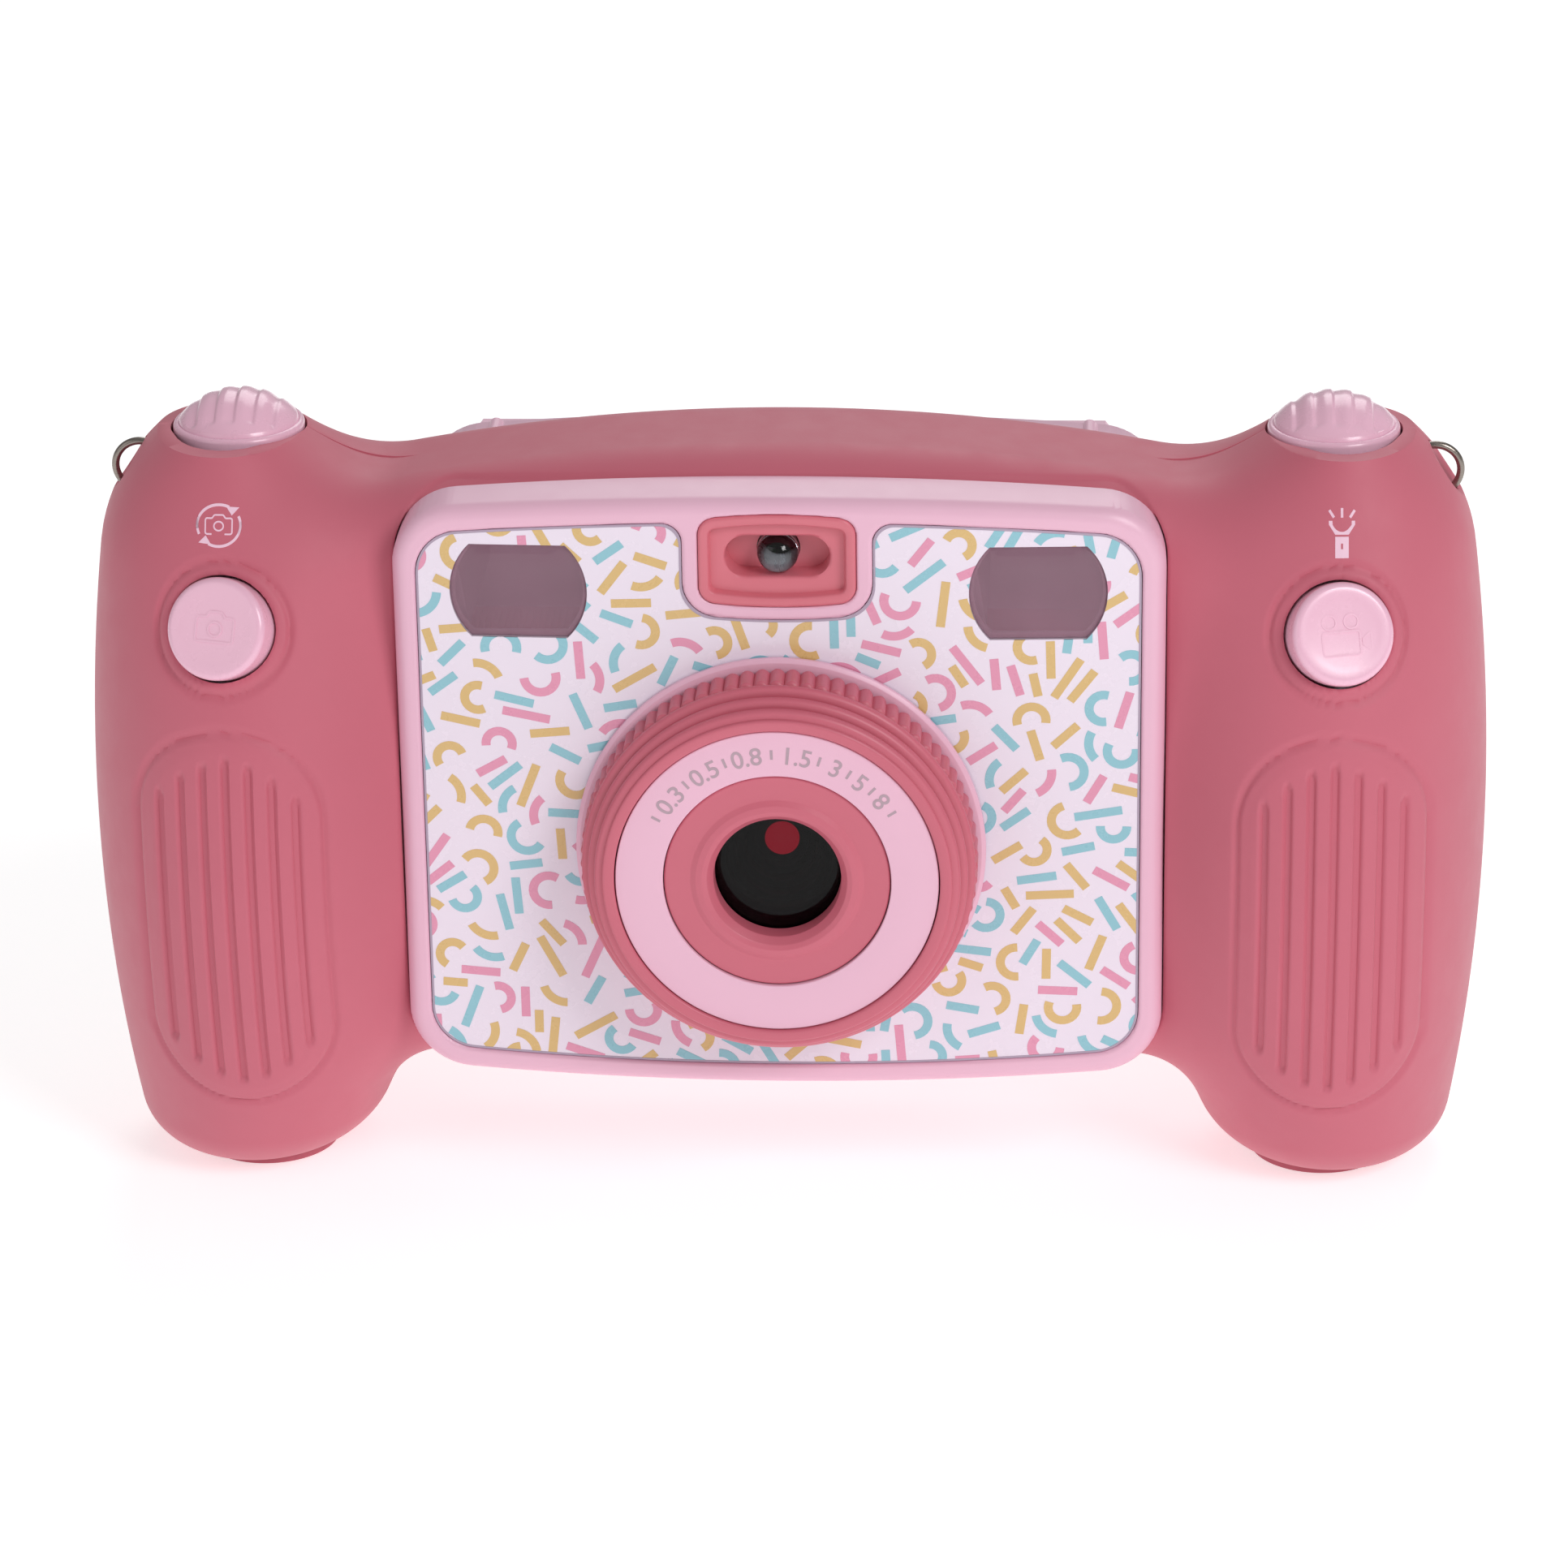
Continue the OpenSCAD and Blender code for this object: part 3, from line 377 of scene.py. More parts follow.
def revolve(profile, segments=160, wobble=None):
    """Closed (radius, height) profile turned about +Z. Points on the axis share one vertex."""
    angles = 2 * np.pi * np.arange(segments) / segments
    points, rows = [], []
    for r, h in profile:
        if r < 1e-6:
            rows.append([len(points)] * segments)
            points.append((0, 0, h))
        else:
            rr = r + (wobble(angles, r, h) if wobble else 0)
            rows.append(list(range(len(points), len(points) + segments)))
            points += list(zip(rr * np.cos(angles), rr * np.sin(angles), np.full(segments, h)))
    faces = []
    for a, b in zip(rows, rows[1:] + rows[:1]):
        for i in range(segments):
            j = (i + 1) % segments
            face = []
            for k in (a[i], a[j], b[j], b[i]):
                if k not in face:
                    face.append(k)
            if len(face) > 2:
                faces.append(tuple(face))
    return outward(points, faces)


def rod(radius, h0, h1, segments=64):
    return revolve([(0, h0), (radius, h0), (radius, h1), (0, h1)], segments)


def moved(shape, offset):
    return np.asarray(shape[0], float) + offset, shape[1]


def front_turned(shape, centre):
    """A shape made about +Z, with its height running forwards from the centre."""
    return outward(np.asarray(shape[0], float)[:, [0, 2, 1]] * (1, -1, 1) + centre, shape[1])


def rear_turned(shape, centre):
    """A shape made about +Z, with its height running backwards from the centre."""
    return outward(np.asarray(shape[0], float)[:, [0, 2, 1]] + centre, shape[1])


def side_turned(shape, centre):
    """A shape made about +Z, with its height running along X from the centre."""
    return outward(np.asarray(shape[0], float)[:, [2, 0, 1]] + centre, shape[1])


def rod_y(radius, x, z, y0, y1, segments=64):
    return rear_turned(rod(radius, y0, y1, segments), (x, 0, z))


def rod_z(radius, x, z0, z1, segments=96):
    return moved(rod(radius, z0, z1, segments), (x, 0, 0))


def placed(shape, matrix, mirrored=False):
    m = np.array(matrix)
    points = np.asarray(shape[0]) @ m[:3, :3].T + m[:3, 3]
    return outward(points * (-1, 1, 1) if mirrored else points, shape[1])


def mirrored(shape):
    return placed(shape, Matrix.Identity(4), True)


def both(shape):
    return merge(shape, mirrored(shape))


def fill(mesh, shape):
    """Puts a shape into an empty mesh, in the shared frame."""
    points, faces = shape
    sizes = np.fromiter(map(len, faces), int, len(faces))
    corners = np.fromiter((i for f in faces for i in f), int, int(sizes.sum()))
    mesh.vertices.add(len(points))
    mesh.vertices.foreach_set("co", row(points).ravel())
    mesh.loops.add(len(corners))
    mesh.loops.foreach_set("vertex_index", corners)
    mesh.polygons.add(len(faces))
    mesh.polygons.foreach_set("loop_start", np.concatenate([[0], np.cumsum(sizes)[:-1]]))
    mesh.update(calc_edges=True)


def scratch(shape):
    """A bare object for a cut, in the shared frame."""
    mesh = bpy.data.meshes.new("cut")
    fill(mesh, shape)
    return shown("cut", mesh)


def cut(*shapes):
    return "DIFFERENCE", merge(*shapes)


def add(*shapes):
    return "UNION", merge(*shapes)


def keep(*shapes):
    return "INTERSECT", merge(*shapes)


def shape_of(mesh):
    """A mesh back as a shape of the drawing frame."""
    points = np.empty(len(mesh.vertices) * 3)
    mesh.vertices.foreach_get("co", points)
    corners = np.empty(len(mesh.loops), int)
    mesh.loops.foreach_get("vertex_index", corners)
    starts = np.empty(len(mesh.polygons), int)
    mesh.polygons.foreach_get("loop_start", starts)
    faces = [tuple(f.tolist()) for f in np.split(corners, starts[1:])]
    return points.reshape(-1, 3) / MM - ORIGIN, faces


def combined(shape, *steps):
    """A shape after (operation, shape) steps."""
    target = scratch(shape)
    tools = [scratch(step[1]) for step in steps]
    for step, tool in zip(steps, tools):
        modifier = target.modifiers.new("carve", "BOOLEAN")
        modifier.operation = step[0]
        modifier.solver = "MANIFOLD"
        modifier.object = tool
    bpy.context.view_layer.update()
    graph = bpy.context.evaluated_depsgraph_get()
    result = shape_of(bpy.data.meshes.new_from_object(target.evaluated_get(graph)))
    for made in [target] + tools:
        bpy.data.objects.remove(made)
    return result


def piece(name, shape, material, body=BODY, stands_for=(), sharp=40):
    """A shown piece in the shared frame: smooth, sharp where it turns by more than `sharp`."""
    mesh = bpy.data.meshes.new(name)
    fill(mesh, shape)
    mesh.validate()
    mesh.polygons.foreach_set("use_smooth", [True] * len(mesh.polygons))
    mesh.set_sharp_from_angle(angle=math.radians(sharp))
    mesh.materials.append(mats[material])
    made = shown(name, mesh)
    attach(made, body)
    if stands_for:
        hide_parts(*stands_for)
    return made


# ------------------------------------------------------------ form of the case
def arc_drop(t, r):
    return r - np.sqrt(np.maximum(r * r - t * t, 0))


def corner(t, r):
    return np.where(t <= 0, 0, arc_drop(np.clip(t, 0, r), r))


HALF_W = 86.0
CAP_X = 66.4
WAIST_Z = 46.4
GRIP_HALF = 21.8
GRIP_LOW, GRIP_HIGH = -0.7, 98.4
HEEL_Z, HEEL_R = 5.7, 6.2
BODY_X, BODY_R = 65, 9.1
BLEND = 9
WALL = 2.2


def grip_side(z):
    return HALF_W - (z - WAIST_Z) ** 2 / 510 - corner(z - 79.6, 20.8) - corner(HEEL_Z - z, HEEL_R)


def grip_x(z):
    return HALF_W - GRIP_HALF + 3.2 * ((z - 48) / 46) ** 2


def grip_depth(z, side):
    depth = 28.1 - arc_drop(z - 43.7, 86.7) if side < 0 else 20 - arc_drop(z - 43.7, 121.5)
    return np.maximum(depth - 1.1 * corner(HEEL_Z - z, HEEL_R), 0.4)


def case_dist(x, y, z, side):
    """Distance-like field of the case, negative inside."""
    h = np.clip(z, GRIP_LOW, GRIP_HIGH)
    a = np.maximum(grip_side(h) - grip_x(h), 0.4)
    b = grip_depth(h, side)
    rho = np.hypot((np.abs(x) - grip_x(h)) / a, y / b)
    grip = np.maximum(np.maximum((rho - 1) * (a + b) / 2, GRIP_LOW - z), z - GRIP_HIGH)
    top, bottom = 93.9 - x * x / 482, 12.4 + x * x / 1016
    depth = 15.5 if side < 0 else 13.5
    qx = np.maximum(np.abs(x) - BODY_X + BODY_R, 0)
    qy = np.maximum(np.abs(y) - depth + BODY_R, 0)
    qz = np.maximum(np.abs(z - (top + bottom) / 2) - (top - bottom) / 2 + BODY_R, 0)
    body = np.sqrt(qx * qx + qy * qy + qz * qz) - BODY_R
    fade = np.maximum(BLEND - np.abs(grip - body), 0) / BLEND
    return np.minimum(grip, body) - fade * fade * BLEND / 4


def search(field, inside, outside):
    """Halving search for the zero of a field between two arrays."""
    inside, outside = np.array(inside, float), np.array(outside, float)
    for _ in range(26):
        mid = (inside + outside) / 2
        hit = field(mid) < 0
        inside = np.where(hit, mid, inside)
        outside = np.where(hit, outside, mid)
    return (inside + outside) / 2


def skin_y(x, z, side, level=0.0):
    """Depth of the skin before or behind the parting plane, signed."""
    x, z = np.broadcast_arrays(np.asarray(x, float), np.asarray(z, float))
    return side * search(lambda y: case_dist(x, y, z, side) + level,
                         np.zeros(x.shape), np.full(x.shape, 32.0))


def skin_normal(x, y, z, side):
    h = 0.02
    g = np.stack([case_dist(x + i, y + j, z + k, side) - case_dist(x - i, y - j, z - k, side)
                  for i, j, k in ((h, 0, 0), (0, h, 0), (0, 0, h))], axis=-1)
    return g / np.maximum(np.linalg.norm(g, axis=-1, keepdims=True), 1e-9)


def grid_quads(index):
    """Quads between the neighbours of a grid of point numbers."""
    quads = np.stack([index[:-1, :-1], index[1:, :-1], index[1:, 1:], index[:-1, 1:]], axis=-1)
    return [tuple(q) for q in quads.reshape(-1, 4).tolist()]


def half_solid(side, level, xs, rows, relief=None, overrun=0.0):
    """One half of the case as a closed solid; relief(x, y, z) sinks its skin."""
    low, high = [search(lambda z: case_dist(xs, 0 * xs, z, side) + level,
                        np.full(xs.shape, WAIST_Z), np.full(xs.shape, end))
                 for end in (-2.0, 100.0)]
    x = np.repeat(xs[:, None], len(rows), 1)
    z = low[:, None] + (high - low)[:, None] * rows[None, :]
    y = skin_y(x, z, side, level)
    y[:, [0, -1]] = 0
    points = np.stack([x, y, z], axis=-1)
    if relief:
        sunk = relief(x, y, z)
        points = points - skin_normal(x, y, z, side) * sunk[..., None]
        points[:, [0, -1], 1] = 0
    if overrun:
        ends = points[:, [0, -1]].copy()
        ends[..., 1] = -side * overrun
        points = np.concatenate([ends[:, :1], points, ends[:, 1:]], axis=1)
    columns, per = points.shape[:2]
    index = np.arange(columns * per).reshape(columns, per)
    caps = np.stack([index[:-1, 0], index[:-1, -1], index[1:, -1], index[1:, 0]], axis=-1)
    faces = grid_quads(index) + [tuple(q) for q in caps.tolist()]
    faces += [tuple(index[0].tolist()), tuple(index[-1].tolist()[::-1])]
    return outward(points.reshape(-1, 3), faces)


# ----------------------------------------------------------- panel outlines
def bowed_quarter(w, z_edge, bow, r, fine):
    """Corner arc and half edge of a panel whose edge bows outwards."""
    x_c = w - r
    slope = math.atan(2 * bow * x_c / (w * w))
    x_t = x_c + r * math.sin(slope)
    z_c = z_edge - bow * (x_t / w) ** 2 - r * math.cos(slope)
    arc = [(x_c + r * math.cos(a), z_c + r * math.sin(a))
           for a in np.linspace(0, math.pi / 2 - slope, fine)]
    edge = [(x, z_edge - bow * (x / w) ** 2) for x in np.linspace(x_t, 0, fine * 2)[1:]]
    return arc + edge


def both_halves(right):
    """Full outline from its right half."""
    return np.array(right + [(-x, z) for x, z in right[::-1] if x > 1e-6])


def bowed_outline(w, top, bottom, bow_top, bow_bottom, r, fine=14):
    """Full outline, up the right half and back down the left."""
    down = [(x, -z) for x, z in bowed_quarter(w, -bottom, bow_bottom, r, fine)]
    return both_halves(down[::-1] + bowed_quarter(w, top, bow_top, r, fine))


BEZEL = 46.2, 91.6, 15.0  # half width, top and bottom
REAR = 46.0, 88.2, 17.0
BEZEL_FRONT, SEAT, FACE_R = 20.9, 12.45, 756.0
REAR_FACE = 20.5
BOW, BOW_LOW, BEZEL_CORNER = 2.0, 1.8, 8.0
TRAY_CORNER = 5.6
FRAME_GAP = 0.15
LENS_Z = 46.9
WINDOW_X, WINDOW_Z, WINDOW_R, WINDOW_H = 31.0, 79.6, 8.2, 11.7
LAMP_Z, INSERT_Z, INSERT_W, INSERT_H = 84.1, 83.85, 18.8, 11.7
TAB_HALF, TAB_BOTTOM, TAB_CORNER, TAB_FILLET, TAB_BOW = 11.3, 76.4, 4.4, 2.4, 0.7
INSERT_BOW, INSERT_CORNER = 0.65, 2.2


def frame_outline(panel, inset=0.0, fine=14):
    """Outline of the front or the rear frame."""
    half, top, bottom = panel
    return bowed_outline(half - inset, top - inset, bottom + inset, BOW, BOW_LOW,
                         BEZEL_CORNER - max(inset, 0), fine)


def tray_outline(inset=0.0):
    """Outline of the plate's tray, notched by the lamp's tab."""
    fine = 12
    w, top, bottom = BEZEL[0] - 2.85 - inset, BEZEL[1] - 2.9 - inset, BEZEL[2] + 2.8 + inset
    up = bowed_quarter(w, top, BOW, TRAY_CORNER - inset, fine)
    down = [(x, -z) for x, z in bowed_quarter(w, -bottom, BOW_LOW, TRAY_CORNER - inset, fine)]
    side = TAB_HALF + inset
    start = side + TAB_FILLET
    z_top = top - BOW * (start / w) ** 2
    right = down[::-1] + [p for p in up if p[0] > start + 0.4]
    right += [(start - TAB_FILLET * math.sin(a), z_top - TAB_FILLET + TAB_FILLET * math.cos(a))
              for a in np.linspace(0, math.pi / 2, fine)]
    tab = bowed_quarter(side, inset - TAB_BOTTOM, TAB_BOW, TAB_CORNER, fine)
    return both_halves(right + [(x, -z) for x, z in tab])


def bar_outline(x, z, w, h, r):
    """Rounded rectangle about (x, z)."""
    out = []
    for i, (sx, sz) in enumerate(((1, 1), (-1, 1), (-1, -1), (1, -1))):
        a = np.radians(np.linspace(90 * i, 90 * i + 90, 8))
        out.append(np.column_stack([x + sx * (w / 2 - r) + r * np.cos(a),
                                    z + sz * (h / 2 - r) + r * np.sin(a)]))
    return np.concatenate(out)


def window_outline(x, r, h):
    """Circle with flat top and bottom, as matched rings for lofting."""
    fine = 20
    a = math.asin(min(h / 2 / r, 1))
    out = [(r * math.cos(t), r * math.sin(t)) for t in np.linspace(-a, a, fine)]
    flat = r * math.cos(a)
    out += [(t, h / 2) for t in np.linspace(flat, -flat, fine)[1:-1]]
    out += [(-px, -pz) for px, pz in out]
    return np.array(out) + (x, WINDOW_Z)


def circle_outline(x, z, r, fine=96):
    a = 2 * np.pi * np.arange(fine) / fine
    return np.column_stack([x + r * np.cos(a), z + r * np.sin(a)])


def outline_dist(x, z, outline):
    """Distance to an outline, and whether each point is inside it."""
    best = np.full(x.shape, 1e9)
    inside = np.zeros(x.shape, bool)
    o = np.asarray(outline)
    for (ax, az), (bx, bz) in zip(o, np.roll(o, -1, 0)):
        dx, dz = bx - ax, bz - az
        size = dx * dx + dz * dz
        if size < 1e-12:
            continue
        t = np.clip(((x - ax) * dx + (z - az) * dz) / size, 0, 1)
        best = np.minimum(best, (x - ax - t * dx) ** 2 + (z - az - t * dz) ** 2)
        if az != bz:
            cross = ((az > z) != (bz > z)) & (x < dx * (z - az) / dz + ax)
            inside ^= cross
    return np.sqrt(best), inside


def round_off(d, r):
    """Drop of a rounded edge at the distance d from it."""
    return arc_drop(np.clip(r - d, 0, r), r)


def edge_drop(x, z, outline, r, inside=False):
    """Drop of an edge rounded outside an outline, or inside it."""
    d, within = outline_dist(x, z, outline)
    return round_off(np.where(within != inside, 0, d), r)


def field_solid(xs, zs, near, far, warp=None):
    """Solid between the depths near(x, z) and far(x, z), on rows bent by warp."""
    x, z = np.meshgrid(xs, zs, indexing="ij")
    if warp:
        z = warp(x, z)
    points = [np.stack([x, np.broadcast_to(y, x.shape), z], -1).reshape(-1, 3)
              for y in (near(x, z), far(x, z))]
    count = x.size
    top = np.arange(count).reshape(x.shape)
    faces = grid_quads(top) + [q[::-1] for q in grid_quads(top + count)]
    for line in (top[:, 0], top[-1, :], top[::-1, -1], top[0, ::-1]):
        for p, q in zip(line[:-1].tolist(), line[1:].tolist()):
            faces.append((q, p, p + count, q + count))
    return outward(np.concatenate(points), faces)


def follow_bow(panel):
    """Bends a panel's rows so that they run along both of its bowed edges."""
    half, top, bottom = panel

    def warp(x, z):
        up = np.clip((z - bottom) / (top - bottom), 0, 1)
        across = (x / half) ** 2
        return z - up * BOW * across + (1 - up) * BOW_LOW * across
    return warp


def spaced(*spans):
    """Positions from (start, stop, step) spans that follow each other."""
    out = []
    for start, stop, step in spans:
        count = max(1, int(round((stop - start) / step)))
        out += list(np.linspace(start, stop, count, endpoint=False))
    return np.array(out + [spans[-1][1]])


def both_sides(positive):
    """Mirror-symmetric positions from the ones at and above zero."""
    return np.concatenate([-positive[::-1][: -1 if positive[0] == 0 else None], positive])


def face_y(x, sink=0.0):
    """Bowed front face of the bezel, sunk by a depth."""
    return -BEZEL_FRONT + sink + arc_drop(x, FACE_R)


def face(sink):
    """The bowed front face at a depth, for solids that follow it."""
    return lambda x, z=None: face_y(x, sink)


def flat(y):
    return lambda x, z: y


def arc_points(x, z, r, start, stop, count):
    """Points of an arc about (x, z), with its angles in degrees from +x."""
    a = np.radians(np.linspace(start, stop, count))
    return list(zip(x + r * np.cos(a), z + r * np.sin(a)))


# ------------------------------------------------------- openings in the case
BUTTON_X, BUTTON_Z, BUTTON_YAW, BUTTON_PITCH, BUTTON_R = 66.9, 75.4, 14.0, 22.0, 6.2
BUTTON_Y = float(skin_y(BUTTON_X, BUTTON_Z, -1))
button_frame = (Matrix.Translation((BUTTON_X, BUTTON_Y, BUTTON_Z))
                @ Matrix.Rotation(math.radians(BUTTON_YAW), 4, "Z")
                @ Matrix.Rotation(math.radians(90 - BUTTON_PITCH), 4, "X"))
strap_frame = Matrix.Translation((78.7, 0, 88.3)) @ Matrix.Rotation(math.radians(-30), 4, "Y")
DISH_R, WIRE_R, WIRE_BEND, WIRE_LEG = 8.0, 0.47, 3.1, 1.9
TOP_CAP_R, BUTTON_GAP, BUTTON_RING_R = 8.0, 0.3, 8.15
PAD_X, PAD_LOW, PAD_HIGH, PAD_HALF = 66.4, 13.0, 63.5, 11.6
SLOT_PITCH, SLOT_HALF, SLOT_DEPTH = 2.8, 0.53, 0.5
SCREW_X, SCREW_ROWS, SCREW_RECESS = 55, (21, 81), 2.7
SCREWS = [(s * SCREW_X, z) for s in SIGNS for z in SCREW_ROWS]
SPEAKER_Z = 38


def smooth(t):
    t = np.clip(t, 0, 1)
    return t * t * (3 - 2 * t)


def seam(y):
    """Fine groove where the two halves meet."""
    return 0.05 * np.clip(1 - np.abs(y) / 0.2, 0, 1)


def front_relief(x, y, z):
    """Everything engraved in the front skin, as a depth."""
    ax = np.abs(x)
    sunk = seam(y)
    # Obround groove around the grip pad, and the soft swell inside it
    middle = np.clip(z, PAD_LOW + PAD_HALF, PAD_HIGH - PAD_HALF)
    edge = np.hypot(ax - PAD_X, z - middle) - PAD_HALF
    sunk += 0.42 * np.exp(-(edge / 0.34) ** 2)
    sunk -= 0.12 * smooth(-(edge + 0.9) / 1.4)
    # Seven upright slots with round ends
    centre = (PAD_LOW + PAD_HIGH) / 2
    for k in range(-3, 4):
        reach = 22.0 - 0.42 * k * k - 0.42 * abs(k)
        beyond = np.maximum(np.abs(z - centre) - reach + SLOT_HALF, 0)
        d = np.hypot(ax - PAD_X - k * SLOT_PITCH, beyond) - SLOT_HALF
        sunk += SLOT_DEPTH * (1 - smooth((d + 0.22) / 0.32))
    # Ring around the front button
    p = np.stack([ax, y, z, np.ones_like(x)], -1) @ np.array(button_frame.inverted()).T
    rho = np.hypot(p[..., 0], p[..., 1])
    ring = 0.45 * np.exp(-((rho - BUTTON_RING_R) / 0.36) ** 2)
    ring += round_off(np.maximum(rho - BUTTON_R - BUTTON_GAP, 0), 0.35)
    sunk += np.where(np.abs(p[..., 2]) < 6, ring, 0)
    # Softened edge where the front frame is let in
    return sunk + edge_drop(x, z, frame_outline(BEZEL, -FRAME_GAP, 10), 0.3)


def rear_relief(x, y, z):
    sunk = seam(y) + edge_drop(x, z, frame_outline(REAR, -FRAME_GAP, 10), 0.3)
    for screw_z in SCREW_ROWS:
        rho = np.hypot(np.abs(x) - SCREW_X, z - screw_z)
        sunk += round_off(np.maximum(rho - SCREW_RECESS, 0), 0.3)
    return sunk


def case_columns():
    """Positions across the case, closest together where edges are rounded."""
    outer = HALF_W - GRIP_HALF + 21.74 * np.cos(np.radians(np.linspace(50.7, 0, 30)))
    inner = spaced((0, 36, 1.5), (36, 44, 0.5), (44, 48, 0.2), (48, 53.5, 0.5),
                   (53.5, outer[0], 0.2))
    return both_sides(np.concatenate([inner, outer[1:]]))


def case_rows(count):
    even = np.linspace(0, 1, count)
    eased = (1 - np.cos(np.pi * even)) / 2
    return 0.72 * eased + 0.28 * (3 * even ** 2 - 2 * even ** 3)


INNER_X = both_sides(spaced((0, 60, 3), (60, 80, 1.5), (80, HALF_W - 2.02, 0.4)))
INNER_ROWS = case_rows(60)


def sphere(radius, centre):
    fine = 32
    profile = [(radius * math.sin(a), -radius * math.cos(a))
               for a in np.linspace(0, math.pi, fine)]
    profile[0], profile[-1] = (0, -radius), (0, radius)
    return moved(revolve(profile, 2 * fine), centre)


def mid_box(x, z, half_x, half_z, y0, y1):
    return box_shape((x - half_x, y0, z - half_z), (x + half_x, y1, z + half_z))


def grip_cuts():
    """Flats, dishes and holes that both halves of the case share."""
    legs = [side_turned(rod(WIRE_R + 0.08, -8, 2, 24), (0, 0, dz))
            for dz in (-WIRE_BEND, WIRE_BEND)]
    shapes = [
        rod_z(13, CAP_X, 93.6, 104),
        rod_z(TOP_CAP_R + BUTTON_GAP, CAP_X, 87.5, 94),
        rod_z(22, CAP_X, -10, 0.35),
        placed(sphere(DISH_R, (DISH_R + 0.35, 0, 0)), strap_frame),
        placed(merge(*legs), strap_frame),
        box_shape((CAP_X - 5.5, -2.8, -2), (CAP_X + 5.5, 2.8, 7)),
    ]
    return [cut(both(shape)) for shape in shapes]


def window_holes(y0, y1):
    return merge(*[mid_box(s * WINDOW_X, WINDOW_Z, 9.6, 7.1, y0, y1) for s in SIGNS])


def screw_holes(radius, y0, y1, segments=24):
    return cut(*[rod_y(radius, x, z, y0, y1, segments) for x, z in SCREWS])


def build_half(name, side, relief, post_ends, inner_cuts, seat, openings):
    """One half of the case: its skin, hollow, seat of the frame, and openings."""
    posts = cut(*[prism(circle_outline(x, z, 3.1, 32), *post_ends) for x, z in SCREWS])
    inner = combined(half_solid(side, WALL, INNER_X, INNER_ROWS, overrun=0.6),
                     *inner_cuts, posts)
    half = combined(half_solid(side, 0, case_columns(), case_rows(250), relief),
                    cut(inner), cut(seat), *grip_cuts(), *openings)
    piece("case_" + name, half, "rose", stands_for=[name + "_shell"], sharp=48)


def build_case():
    build_half(
        "front", -1, front_relief, (-11.5, -0.05),
        [cut(prism(frame_outline(BEZEL, -2.5), -SEAT - 3, -SEAT + 1.3))],
        prism(frame_outline(BEZEL, -FRAME_GAP), -30, -SEAT),
        [cut(both(placed(rod(BUTTON_R + BUTTON_GAP, -7, 9), button_frame))),
         cut(rod_y(20, 0, LENS_Z, -22, -5), window_holes(-22, -5),
             mid_box(0, LAMP_Z, 9, 5, -22, -5)),
         screw_holes(1.25, -9, 5)])
    around = [(CAP_X, SPEAKER_Z)] + arc_points(CAP_X, SPEAKER_Z, 4, 0, 300, 6)
    build_half(
        "rear", 1, rear_relief, (0.05, 12), [],
        prism(frame_outline(REAR, -FRAME_GAP), SEAT, 30),
        [cut(box_shape((-41, 5, 20.4), (41, 22, 68)), window_holes(5, 22),
             mid_box(0, WINDOW_Z, 5.6, 5.6, 5, 22)),
         cut(*[rod_y(0.85, x, z, 12, 27, 24) for x, z in around]),
         screw_holes(1.4, -1, 20), screw_holes(SCREW_RECESS, 9, 30, 48)])


# ------------------------------------------------------------- front panel
def insert_outline(grow=0.0):
    return bowed_outline(INSERT_W / 2 + grow, INSERT_Z + INSERT_H / 2 + grow,
                         INSERT_Z - INSERT_H / 2 - grow,
                         INSERT_BOW, INSERT_BOW, INSERT_CORNER + grow, 10)


def window_cuts(grow):
    """Tools through both windows, wider and higher by twice the growth."""
    return [prism(window_outline(s * WINDOW_X, WINDOW_R + grow, WINDOW_H + 2 * grow), -24, -5)
            for s in SIGNS]


def build_bezel():
    outer, tray, lamp = frame_outline(BEZEL), tray_outline(), insert_outline(0.05)

    def front(x, z):
        return (face_y(x) + edge_drop(x, z, outer, 1.9, inside=True)
                + edge_drop(x, z, tray, 0.45) + edge_drop(x, z, lamp, 0.3))

    xs = both_sides(spaced((0, 8.4, 1.2), (8.4, 14.5, 0.2), (14.5, 37, 1.5), (37, 42, 0.4),
                           (42, 46.4, 0.16)))
    zs = spaced((14.8, 19.2, 0.16), (19.2, 24, 0.4), (24, 75, 1.7), (75, 80.5, 0.2),
                (80.5, 84.5, 0.5), (84.5, 91.8, 0.16))
    tray_block = combined(
        field_solid(both_sides(spaced((0, 46, 2))), spaced((10, 100, 10)), flat(-25.0),
                    face(1.4)),
        keep(prism(tray, -26, -15)))
    cavity = bowed_outline(BEZEL[0] - 2.85, BEZEL[1] - 2.9, BEZEL[2] + 2.8, BOW, BOW_LOW,
                           TRAY_CORNER)
    bezel = combined(
        field_solid(xs, zs, front, flat(-SEAT), follow_bow(BEZEL)),
        keep(prism(outer, -26, -SEAT + 1)),
        cut(tray_block),
        cut(prism(cavity, -18.3, -5)),
        cut(rod_y(19.55, 0, LENS_Z, -24, -5, 128), *window_cuts(-0.5), prism(lamp, -24, -5)),
    )
    piece("bezel", bezel, "pink", stands_for=["front_bezel"], sharp=48)


PLATE_SINK = 0.35


def plate_holes():
    return cut(rod_y(19.7, 0, LENS_Z, -24, -5, 128), *window_cuts(0.05))


def plate_sheet(inset, low, high, *cuts):
    """Sheet of the plate's outline that follows the bowed face."""
    return combined(
        field_solid(both_sides(spaced((0, 46, 1.5))), spaced((14, 92, 1.5)),
                    face(PLATE_SINK + low), face(PLATE_SINK + high)),
        keep(prism(tray_outline(inset), -24, -15)), *cuts)


def build_plate():
    piece("plate", plate_sheet(0.1, 0, 1, plate_holes()), "plate", stands_for=["face_plate"])
    # Edge of the clear film over the print
    rim = plate_sheet(0.12, -0.05, 0.2, cut(prism(tray_outline(0.36), -25, -14)))
    piece("plate_film_edge", rim, "film_edge")


